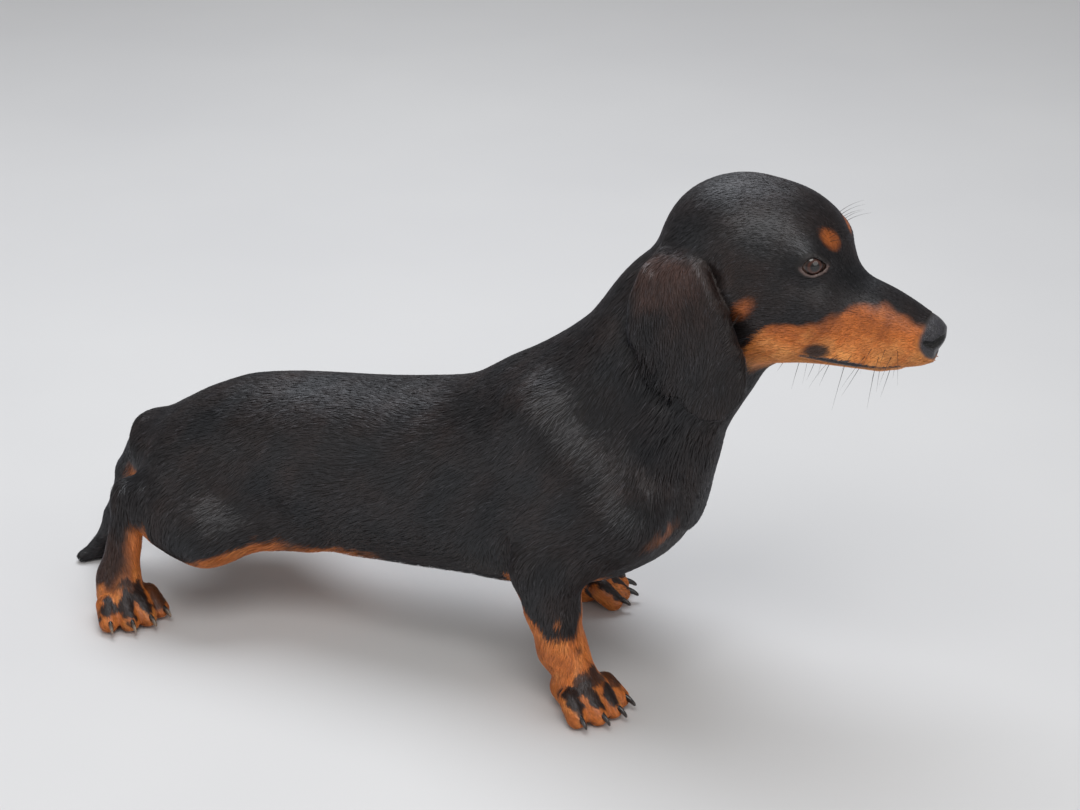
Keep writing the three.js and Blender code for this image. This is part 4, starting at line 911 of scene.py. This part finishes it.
# ------------------------------------------------------------------ skin
FLESH = [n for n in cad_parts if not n.startswith(("eye_", "claw_"))]
colV, tanV, leatherV, rimV = coat_colour(V)
skin_col = colV * 0.9
skin_col = mix(skin_col, lin("39383d")[None], leatherV)
lowlid = np.zeros(len(V))
for s_ in (-1, 1):
    o_, hh_, vv_, r_ = eye_coords(V, s_)
    lowlid = np.maximum(lowlid, (1 - step(vv_, -0.12, 0.12)) * (r_ < 1.4))
skin_col = mix(skin_col, mix(lin("1a1415")[None], lin("6a5753")[None], lowlid), rimV * 0.85)
open_in = np.zeros(len(V))
for s_ in (-1, 1):
    o_, hh_, vv_, r_ = eye_coords(V, s_)
    open_in = np.maximum(open_in, (r_ < EYE_RADIUS + 0.03) * 1.0)
skin_col = mix(skin_col, lin("1c1213")[None], open_in)
# painted shade: the skin inside the carved nostrils is painted near-black
for s_ in (-1, 1):
    w_ = (1 - step(nostril[s_](V), 0.0, 0.07)) * (V[:, 0] > 18.9)
    skin_col = mix(skin_col, lin("050505")[None], w_)
skin = make_object("skin", metres(V), F, colours={"Col": skin_col, "Mask": np.stack([leatherV, np.maximum(rimV, open_in), tanV], 1)})
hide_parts(*FLESH)

M = Nodes("skin_hide")
col = M.n("ShaderNodeVertexColor", layer_name="Col").outputs[0]
mask = M.n("ShaderNodeVertexColor", layer_name="Mask").outputs[0]
sep = M.n("ShaderNodeSeparateColor", {0: mask})
co = M.n("ShaderNodeTexCoord").outputs["Object"]
n1 = M.noise(420.0, 4.0, 0.6, co)
n2 = M.noise(1500.0, 2.0, 0.5, co)
vor = M.n("ShaderNodeTexVoronoi", {"Vector": co, "Scale": 1500.0}, feature="DISTANCE_TO_EDGE").outputs["Distance"]
peb = M.math("MINIMUM", M.math("MULTIPLY", vor, 3.2), 1.0)
dark = M.ramp(n1, [(0.25, (0.55, 0.55, 0.55)), (0.8, (1.25, 1.25, 1.25))])
base = M.mixc(1.0, col, dark, "MULTIPLY")
# nose leather colour: painted sheen on the pebble tops and painted shade in the grooves between them, over the black
# leather
base = M.mixc(sep.outputs[0], base, M.mixc(0.75, M.mixc(peb, (0.010, 0.010, 0.011), (0.050, 0.049, 0.054)), M.mixc(1.0, M.mixc(peb, (0.3, 0.3, 0.3), (1.6, 1.6, 1.7)), col, "MULTIPLY")))
h = M.math("ADD", M.math("MULTIPLY", n1, M.math("SUBTRACT", 1.0, sep.outputs[0])), M.math("MULTIPLY", peb, M.math("MULTIPLY", sep.outputs[0], 1.3)))
bn = M.bump(h, 0.45, 0.0004)
rough = M.math("SUBTRACT", 0.62, M.math("MULTIPLY", M.math("MAXIMUM", sep.outputs[0], sep.outputs[1]), 0.30))
shade(M, {"Base Color": base, "Roughness": rough, "Normal": bn, "Specular IOR Level": 0.45})
skin.data.materials.append(M.m)

# ------------------------------------------------------------------ eyes
E = Nodes("eye_wet")
gz = E.n("ShaderNodeVertexColor", layer_name="Gaze").outputs[0]
g1 = E.n("ShaderNodeSeparateColor", {0: gz})
ray = E.noise(1.0, 4.0, 0.6, E.n("ShaderNodeCombineXYZ", {0: E.math("MULTIPLY", g1.outputs[1], 26.0), 1: E.math("MULTIPLY", g1.outputs[0], 3.0), 2: 0.0}).outputs[0])
iris = E.ramp(g1.outputs[0], [(0.0, (0.001, 0.001, 0.0015)), (0.225, (0.001, 0.001, 0.0015)), (0.245, (0.018, 0.005, 0.003)), (0.33, (0.050, 0.014, 0.006)), (0.43, (0.020, 0.006, 0.004)), (0.475, (0.004, 0.003, 0.003)), (0.56, (0.05, 0.035, 0.03)), (0.8, (0.09, 0.06, 0.05))])
ic = E.mixc(1.0, iris, E.ramp(ray, [(0.3, (0.45, 0.4, 0.4)), (0.7, (1.7, 1.5, 1.4))]), "MULTIPLY")
shade(E, {"Base Color": ic, "Roughness": 0.3, "Coat Weight": 1.0, "Coat Roughness": 0.02, "Coat IOR": 1.5, "Specular IOR Level": 0.2})
for s, side in ((-1, "right"), (1, "left")):
    c, o, h_, v_ = EYES[s]
    nu, nv = 64, 40
    th = np.pi * (np.arange(1, nv)) / nv
    ph = 2 * np.pi * np.arange(nu) / nu
    gaze = unit(o + 0.10 * h_)
    e1 = unit(np.cross(gaze, (0, 0, 1)))
    e2 = np.cross(gaze, e1)
    T_, P_ = np.meshgrid(th, ph, indexing="ij")
    R_ = EYE_RADIUS + 0.035 * (1 - step(T_, 0.30, 0.62))
    pts = c + (R_ * np.cos(T_))[..., None] * gaze + (R_ * np.sin(T_) * np.cos(P_))[..., None] * e1 + (R_ * np.sin(T_) * np.sin(P_))[..., None] * e2
    verts = np.concatenate([[c + gaze * (EYE_RADIUS + 0.035)], pts.reshape(-1, 3), [c - gaze * EYE_RADIUS]])
    tv = np.concatenate([[0], T_.ravel(), [np.pi]])
    pv = np.concatenate([[0], P_.ravel(), [0]])
    fs = []
    for i in range(nv - 2):
        for j in range(nu):
            a, b = 1 + i * nu + j, 1 + i * nu + (j + 1) % nu
            fs += [[a, a + nu, b + nu], [a, b + nu, b]]
    for j in range(nu):
        fs.append([0, 1 + j, 1 + (j + 1) % nu])
        k0 = 1 + (nv - 2) * nu
        fs.append([len(verts) - 1, k0 + (j + 1) % nu, k0 + j])
    fs = np.array(fs)
    vol = np.einsum("ij,ij->i", verts[fs[:, 0]] - c, np.cross(verts[fs[:, 1]] - c, verts[fs[:, 2]] - c)).sum()
    if vol < 0:
        fs = fs[:, ::-1]
    ob = make_object("eyeball_" + side, metres(verts), fs, colours={"Gaze": np.stack([tv, np.cos(pv) * 0.5 + 0.5, 0 * tv], 1)})
    ob.data.materials.append(E.m)
    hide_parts("eye_" + side)

# ------------------------------------------------------------------ claws
H = Nodes("claw_horn")
hc = H.n("ShaderNodeVertexColor", layer_name="Col").outputs[0]
hco = H.n("ShaderNodeTexCoord").outputs["Object"]
hn = H.noise(900.0, 3.0, 0.5, hco)
shade(H, {"Base Color": H.mixc(1.0, hc, H.ramp(hn, [(0.3, (0.6, 0.6, 0.6)), (0.7, (1.3, 1.3, 1.3))]), "MULTIPLY"), "Roughness": 0.26, "Normal": H.bump(hn, 0.2, 0.0002), "Coat Weight": 0.3, "Coat Roughness": 0.15})


def make_claw(name, root, d, size, pale):
    rings, sides = 12, 12
    side = unit(np.cross((0, 0, 1), d))
    P, t_ = [], []
    for i in range(rings + 1):
        t = i / rings
        r = (CLAW_ROOT + (CLAW_TIP - CLAW_ROOT) * t ** 1.3) * size * (1 if t < 0.97 else 0.6)
        a = t * 0.95 - 0.1
        c = root + d * math.sin(a) * CLAW_LENGTH * size - A(0, 0, (1 - math.cos(a)) * CLAW_LENGTH * size)
        nrm = np.cross(d * math.cos(a) - A(0, 0, math.sin(a)), side)
        for k in range(sides):
            q = 2 * math.pi * k / sides
            P.append(c + side * math.cos(q) * r * 0.8 + nrm * math.sin(q) * r * 1.1)
            t_.append(t)
    P = np.array(P)
    P[:, 2] = np.maximum(P[:, 2], 0.0)
    fs = []
    for i in range(rings):
        for k in range(sides):
            a, b = i * sides + k, i * sides + (k + 1) % sides
            fs += [[a, b, b + sides], [a, b + sides, a + sides]]
    o = rings * sides
    for k in range(1, sides - 1):
        fs += [[0, k + 1, k], [o, o + k, o + k + 1]]
    fs = np.array(fs)
    m = P.mean(0)
    if np.einsum("ij,ij->i", P[fs[:, 0]] - m, np.cross(P[fs[:, 1]] - m, P[fs[:, 2]] - m)).sum() < 0:
        fs = fs[:, ::-1]
    t_ = np.array(t_)
    c = mix(lin("1b191a")[None], lin("8a7664" if pale else "3a3230")[None], step(t_, 0.35, 1.0))
    ob = make_object("horn" + name[4:], metres(P), fs, colours={"Col": c})
    ob.data.materials.append(H.m)
    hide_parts(name)


for name, leg in LEGS.items():
    f, l, toes = paw_frame(leg)
    for i, (k, t, g) in enumerate(toes):
        make_claw(f"claw_{name}_{i + 1}", t + g * 0.22 + A(0, 0, 0.16), g, 1.0, not leg["fore"])
    if leg["fore"]:
        inner = 1 if leg["s"] < 0 else -1
        make_claw(f"claw_{name}_5", A(*leg["wrist"]) + l * inner * 0.92 + f * 0.25 + A(0, 0, -0.62), unit(f * 0.75 + l * inner * 0.5), 0.72, False)
print("skin, eyes, claws s", round(time.time() - T0, 1))

# ------------------------------------------------------------------ coat: short locks that lie along the body
CHARTS = {
    "trunk": ((-23, 0, 8.6), (8, 0, 9)), "neck": ((2.4, 0, 10), (10, 0, 23)), "head": ((6, 0, 21.8), (20.6, 0, 20.2)),
    "blade_r": ((1.3, -2, 15), (5.6, -2, 8)), "blade_l": ((1.3, 2, 15), (5.6, 2, 8)),
    "fore_right": ((3.0, -4.9, 12), (4.2, -5.5, 0)), "fore_left": ((0.5, 4.8, 12), (0.7, 5.2, 0)),
    "hind_right": ((-18.5, -3.5, 11), (-21.2, -5.2, 0)), "hind_left": ((-18.5, 3.5, 11), (-20.7, 5, 0)),
    "tail": ((-22, 0, 8), (-26.6, -0.4, 0)), "ear_right": (None, None), "ear_left": (None, None)}


def unwrap(P, g):
    """where each root lies on the skin's own unwrap: one chart for each part of the body, in a grid of 4 by 3"""
    uv = np.zeros((len(P), 2))
    for i, (name, _, _) in enumerate(GROUPS):
        m = np.flatnonzero(g == i)
        if not len(m):
            continue
        if name.startswith("ear"):
            top, ax, fwd, out = ear_axes(-1 if name == "ear_right" else 1)
            p = P[m] - top
            C = curve(EAR_U, EAR_C)
            u = np.clip((p @ fwd + 4.2) / 7.6, 0.02, 0.98)
            w = (p @ out) > 0.3
            a, b = np.where(w, u * 0.5, 0.5 + u * 0.5), np.clip((p @ ax + 0.8) / 9.2, 0.02, 0.98)
        else:
            p0, p1 = [A(*q) for q in CHARTS[name]]
            ax = unit(p1 - p0)
            e1 = unit(np.cross(ax, (0, 1, 0)))
            e2 = np.cross(ax, e1)
            p = P[m] - p0
            a = np.arctan2(p @ e2, p @ e1) / (2 * np.pi) + 0.5
            b = np.clip((p @ ax) / np.linalg.norm(p1 - p0) * 0.92 + 0.04, 0.01, 0.99)
        uv[m, 0] = ((i % 4) + 0.02 + 0.96 * np.clip(a, 0.01, 0.99)) / 4
        uv[m, 1] = ((i // 4) + 0.02 + 0.96 * b) / 3
    return uv


Q = V[F]
a1 = np.linalg.norm(np.cross(Q[:, 1] - Q[:, 0], Q[:, 2] - Q[:, 0]), axis=1) / 2
a2 = np.linalg.norm(np.cross(Q[:, 2] - Q[:, 0], Q[:, 3] - Q[:, 0]), axis=1) / 2
area = a1 + a2
cen = Q.mean(1)
vm = np.maximum.reduce([leatherV, rimV, open_in])
bare = vm[F].max(1)
facew = step(cen[:, 0], 10.5, 13) * step(cen[:, 2], 16, 18)
muz = facew * step(cen[:, 0], 13.5, 16)
loww = 1 - step(cen[:, 2], 2.2, 5.0)
skullw = step(cen[:, 0], 6.0, 8.5) * step(cen[:, 2], 20.5, 22.5) * (1 - facew)
dens = 1.0 + 1.6 * facew + 2.2 * muz + 1.5 * loww + 0.9 * skullw
under = N[F[:, 0], 2] < -0.85
dens = dens * np.where(bare > 0.3, 0.0, 1.0) * np.where(cen[:, 2] < 0.10, 0.0, 1.0) * np.where(under & (cen[:, 2] < 6), 0.7, 1.0)
TOTAL = 226000
cw = np.cumsum(area * dens)
pick = np.searchsorted(cw, (np.arange(TOTAL) + RNG.random(TOTAL)) / TOTAL * cw[-1])
pick = np.minimum(pick, len(F) - 1)
print("coat area cm2", round(area.sum()))
u1, u2 = RNG.random(TOTAL), RNG.random(TOTAL)
c00, c10, c11, c01 = (1 - u1) * (1 - u2), u1 * (1 - u2), u1 * u2, (1 - u1) * u2
wq = np.stack([c00, c10, c11, c01], 1)
R0 = (Q[pick] * wq[:, :, None]).sum(1)
NR = (N[F[pick]] * wq[:, :, None]).sum(1)
NR /= np.linalg.norm(NR, axis=1, keepdims=True)
GR = GD[F[pick, 0]]
gmain = GR.argmin(1)
D = lie(R0, NR)
S = np.cross(NR, D)
ang = 0.13 * hashed(R0, 0.9) + 0.08 * hashed(R0, 2.2) + RNG.normal(size=TOTAL) * 0.06
D = D * np.cos(ang)[:, None] + S * np.sin(ang)[:, None]
S = np.cross(NR, D)
L, Wd, lift = hair_size(R0)
L = L * RNG.uniform(0.65, 1.25, TOTAL)
Wd = Wd * RNG.uniform(0.75, 1.25, TOTAL)
depth = coat_depth(R0)
lift = (depth * 0.38 + (lift - 0.09)) * RNG.uniform(0.3, 1.15, TOTAL)
bend = RNG.normal(size=TOTAL) * 0.07


def settle(P, Nn, target):
    d = skin_field(P)
    return P + Nn * np.clip(target - d, -0.6, 0.6)[:, None]


def lay(i):
    Ri, Di, Si, Ni, Li = R0[i], D[i], S[i], NR[i], L[i]
    p1 = Ri + Di * (0.45 * Li)[:, None] + Si * (bend[i] * Li * 0.3)[:, None]
    p2 = Ri + Di * Li[:, None] + Si * (bend[i] * Li)[:, None]
    q1, q2 = settle(p1, Ni, lift[i] * 0.75 + 0.012), settle(p2, Ni, lift[i] + 0.008)
    far = np.maximum(np.linalg.norm(q1 - p1, axis=1) / (0.08 + 0.22 * Li), np.linalg.norm(q2 - p2, axis=1) / (0.12 + 0.42 * Li))
    loose = skin_field(q2) > lift[i] + 0.10             # the tip would stand off the body
    return q1, q2, np.where(loose, 2.0, far)


every = np.arange(TOTAL)
mid, tip, far = lay(every)
bad = np.flatnonzero(far > 1)
L[bad] *= 0.4
mid[bad], tip[bad], far[bad] = lay(bad)
keep = far <= 1
print("locks left out", int((~keep).sum()))
roll = RNG.uniform(-0.5, 0.5, TOTAL)
SS = S * np.cos(roll)[:, None] + NR * np.sin(roll)[:, None]
NN = NR * np.cos(roll)[:, None] - S * np.sin(roll)[:, None]
root = R0 - NR * 0.02
LV = np.stack([root, mid - SS * Wd[:, None], mid + SS * Wd[:, None], mid + NN * (Wd * 0.75)[:, None], tip], 1)
LV[:, :, 2] = np.maximum(LV[:, :, 2], 0.002)
TRI = np.array([[0, 3, 1], [0, 2, 3], [0, 1, 2], [4, 1, 3], [4, 3, 2], [4, 2, 1]])
tv = LV[:200]
sg = np.einsum("ij,ij->i", tv[:, 0] - tv[:, 3], np.cross(tv[:, 1] - tv[:, 3], tv[:, 2] - tv[:, 3])).mean()
v6 = (np.einsum("nkj,nkj->nk", tv[:, TRI[:, 0]] - tv.mean(1)[:, None], np.cross(tv[:, TRI[:, 1]] - tv.mean(1)[:, None], tv[:, TRI[:, 2]] - tv.mean(1)[:, None])).sum(1)).mean()
if v6 < 0:
    TRI = TRI[:, ::-1]
cc, tanR, _, _ = coat_colour(R0 + D * (0.3 * L)[:, None])
bright = np.exp(RNG.normal(size=TOTAL) * np.where(tanR > 0.5, 0.12, 0.16))
cc = cc * bright[:, None]
grey = (RNG.random(TOTAL) < 0.03) & (tanR < 0.4)
cc[grey] = cc[grey] * 0.6 + lin("4a484d")[None] * 0.4
LC = np.stack([cc * 0.55, cc * 0.95, cc * 0.95, cc, cc * 1.15], 1)
LC = np.clip(LC, 0, 1)
uv0 = unwrap(R0, gmain)
calm = 1 - 0.45 * step(R0[:, 0], 6.5, 9.0) * step(R0[:, 2], 20.0, 22.0)
t1, t2 = RNG.normal(size=TOTAL) * 0.09 * calm, RNG.normal(size=TOTAL) * 0.07 * calm
nb = NR + S * t1[:, None] + D * (t2 - 0.05)[:, None]
wide = S * (0.26 * calm)[:, None]
LN = np.stack([nb, nb - wide, nb + wide, nb, nb + D * 0.15], 1)
LN /= np.linalg.norm(LN, axis=2, keepdims=True)
off = np.array([[0, -0.0015], [-0.0013, 0], [0.0013, 0], [0, 0.0004], [0, 0.0015]])
UV = uv0[:, None, :] + off[None]

x, y, z = R0.T
names = [n for n, _, _ in GROUPS]
region = np.full(TOTAL, 5)
gi = gmain
head = gi == GI["head"]
ear = (gi == GI["ear_right"]) | (gi == GI["ear_left"])
neck = gi == GI["neck"]
leg = (gi >= GI["fore_right"]) & (gi <= GI["hind_left"])
REG = ["coat_face", "coat_skull", "coat_ears", "coat_neck", "coat_shoulders", "coat_right_flank", "coat_left_flank", "coat_rump", "coat_forelegs", "coat_hindlegs"]
region = np.where(y < 0, 5, 6)
region[(x > -1) & ~neck & ~head] = 4
region[(x < -15.5)] = 7
region[neck] = 3
region[head & (x > 13.2)] = 0
region[head & (x <= 13.2)] = 1
region[ear] = 2
fr = (gi == GI["fore_right"]) | (gi == GI["fore_left"])
hr = (gi == GI["hind_right"]) | (gi == GI["hind_left"])
region[fr & (z < 7.5)] = 8
region[hr & (z < 6.5)] = 9

K = Nodes("short_coat")
kc = K.n("ShaderNodeVertexColor", layer_name="Col").outputs[0]
kco = K.n("ShaderNodeTexCoord").outputs["Object"]
kn = K.noise(60.0, 3.0, 0.55, kco)
kb = K.mixc(1.0, kc, K.ramp(kn, [(0.3, (0.8, 0.8, 0.8)), (0.7, (1.2, 1.2, 1.2))]), "MULTIPLY")
shade(K, {"Base Color": kb, "Roughness": 0.43, "Specular IOR Level": 0.55, "Specular Tint": (0.93, 0.95, 1.0, 1.0), "Sheen Weight": 0.05, "Sheen Roughness": 0.4, "Sheen Tint": (0.75, 0.8, 1.0, 1.0)})
LIMIT = 33000
for r, rn in enumerate(REG):
    idx = np.flatnonzero((region == r) & keep)
    print(rn, len(idx))
    for part in range(0, max(1, -(-len(idx) // LIMIT))):
        sub = idx[part::max(1, -(-len(idx) // LIMIT))]
        if not len(sub):
            continue
        m = len(sub)
        vv = LV[sub].reshape(-1, 3)
        ff = (np.arange(m)[:, None, None] * 5 + TRI[None]).reshape(-1, 3)
        ob = make_object(rn + ("" if part == 0 else f"_{part + 1}"), metres(vv), ff, uv=UV[sub].reshape(-1, 2), colours={"Col": LC[sub].reshape(-1, 3)}, normals=LN[sub].reshape(-1, 3))
        ob.data.materials.append(K.m)
print("coat s", round(time.time() - T0, 1))

# ------------------------------------------------------------------ whiskers and brow hairs
WV, WF, WC = [], [], []


def hair(p0, d0, length, r, sag, colour):
    n, sides = 9, 5
    p, d = A(*p0), unit(d0)
    base = sum(len(w) for w in WV)
    rings = []
    for i in range(n + 1):
        t = i / n
        e1 = unit(np.cross(d, (0.13, 0.2, 1)))
        e2 = np.cross(d, e1)
        rr = max(r * (1 - t) ** 0.8, r * 0.12)
        rings.append([p + (e1 * math.cos(q) + e2 * math.sin(q)) * rr for q in np.arange(sides) * 2 * math.pi / sides])
        p = p + d * length / n
        d = unit(d + A(0, 0, -sag / n))
    v = np.array(rings).reshape(-1, 3)
    f = []
    for i in range(n):
        for k in range(sides):
            a, b = i * sides + k, i * sides + (k + 1) % sides
            f += [[a, b, b + sides], [a, b + sides, a + sides]]
    for k in range(1, sides - 1):
        f += [[0, k + 1, k], [n * sides, n * sides + k, n * sides + k + 1]]
    f = np.array(f)
    m = v.mean(0)
    if np.einsum("ij,ij->i", v[f[:, 0]] - v[0], np.cross(v[f[:, 1]] - v[0], v[f[:, 2]] - v[0])).sum() < 0:
        f = f[:, ::-1]
    WV.append(v); WF.append(f + base); WC.append(np.repeat(np.asarray(colour)[None], len(v), 0))


def on_skin(p):
    p = A(*p)
    for _ in range(8):
        d = skin_field(p[None])[0]
        g = gradient(skin_field, p[None], 0.03)[0]
        p = p - g / (g @ g + 1e-6) * d
    return p, unit(g)


for s in (-1, 1):
    for row, (zz, nh) in enumerate(((19.45, 3), (19.1, 5))):
        for i in range(nh):
            p, g = on_skin((18.2 - i * 0.6 - 0.25 * row, s * 2.0, zz))
            d = g * 1.0 + A(-0.25 - 0.10 * i, 0, -0.5 - 0.15 * row) + RNG.normal(size=3) * 0.2
            hair(p - g * 0.03, d, RNG.uniform(0.8, 2.3), 0.012, RNG.uniform(0.2, 0.9), lin("0c0b0c"))
    for i in range(8):
        p, g = on_skin((17.6 - i * 0.7, s * (0.5 + 0.08 * i), 18.2))
        hair(p - g * 0.03, g * 0.6 + A(-0.25, s * 0.1, -0.7) + RNG.normal(size=3) * 0.25, RNG.uniform(0.7, 2.4), 0.014, RNG.uniform(-0.3, 0.4), lin("0c0b0c"))
    for i in range(5):
        p, g = on_skin((14.5 + 0.12 * i, s * (1.1 + 0.12 * i), 25.0 - 0.1 * i))
        hair(p - g * 0.03, g * 0.7 + A(0.5, s * 0.1, 0.35) + RNG.normal(size=3) * 0.1, RNG.uniform(0.9, 1.7), 0.012, 0.6, lin("1d1817"))
    for i in range(3):
        p, g = on_skin((10.9 + 0.15 * i, s * 3.4, 20.8 + 0.12 * i))
        hair(p - g * 0.03, g * 0.7 + A(-0.3, 0, -0.25) + RNG.normal(size=3) * 0.1, RNG.uniform(1.1, 1.7), 0.012, 0.4, lin("1d1817"))
wh = make_object("whiskers", metres(np.concatenate(WV)), np.concatenate(WF), colours={"Col": np.concatenate(WC)})
WM = Nodes("whisker_hair")
wc = WM.n("ShaderNodeVertexColor", layer_name="Col").outputs[0]
shade(WM, {"Base Color": WM.mixc(1.0, wc, WM.ramp(WM.noise(300.0), [(0.3, (0.7, 0.7, 0.7)), (0.7, (1.4, 1.3, 1.2))]), "MULTIPLY"), "Roughness": 0.35})
wh.data.materials.append(WM.m)

# ------------------------------------------------------------------ floor, light, camera
fm = Nodes("floor_plain")
fco = fm.n("ShaderNodeTexCoord").outputs["Object"]
shade(fm, {"Base Color": fm.ramp(fm.noise(3.0, 3.0, 0.5, fco), [(0.3, (0.60, 0.60, 0.61)), (0.7, (0.64, 0.64, 0.645))]), "Roughness": 0.65})
floor = make_object("floor", np.array([[-6, -6, -0.0004], [6, -6, -0.0004], [6, 6, -0.0004], [-6, 6, -0.0004]], float), np.array([[0, 1, 2, 3]]), smooth=False, ride=False)
floor.data.materials.append(fm.m)


def area_light(name, loc, target, size, power, colour=(1, 1, 1)):
    ld = bpy.data.lights.new(name, "AREA")
    ld.shape = "DISK"
    ld.size = size
    ld.energy = power
    ld.color = colour
    ob = bpy.data.objects.new(name, ld)
    bpy.context.collection.objects.link(ob)
    ob.location = loc
    ob.rotation_mode = "QUATERNION"
    ob.rotation_quaternion = (Vector(target) - Vector(loc)).to_track_quat("-Z", "Y")


area_light("key", (0.35, -0.9, 1.5), (0, 0, 0.12), 1.0, 12, (1.0, 0.985, 0.96))
area_light("top", (-0.3, 0.45, 1.4), (-0.05, 0, 0.12), 1.1, 15, (0.93, 0.96, 1.0))
area_light("fill", (1.3, -0.8, 0.55), (0.1, 0, 0.15), 0.9, 3.5, (1.0, 0.97, 0.94))
area_light("low", (-1.0, -1.1, 0.5), (-0.1, 0, 0.1), 0.9, 2)
world = bpy.data.worlds.new("soft_room")
world.use_nodes = True
world.node_tree.nodes["Background"].inputs[0].default_value = (0.90, 0.89, 0.88, 1)
world.node_tree.nodes["Background"].inputs[1].default_value = 0.38
bpy.context.scene.world = world

cam = bpy.data.cameras.new("camera")
cam.sensor_width = 36
cam.lens = 87.5
co_ = bpy.data.objects.new("camera", cam)
bpy.context.collection.objects.link(co_)
az, el = math.radians(21), math.radians(24)
back = Vector((math.sin(az) * math.cos(el), -math.cos(az) * math.cos(el), math.sin(el)))
target = Vector(metres((0, 0, 13.3)))
co_.location = target + back * 1.30
co_.rotation_mode = "QUATERNION"
co_.rotation_quaternion = (-back).to_track_quat("-Z", "Y")
bpy.context.scene.camera = co_
bpy.context.scene.view_settings.view_transform = "Standard"

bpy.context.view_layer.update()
print("all s", round(time.time() - T0, 1))
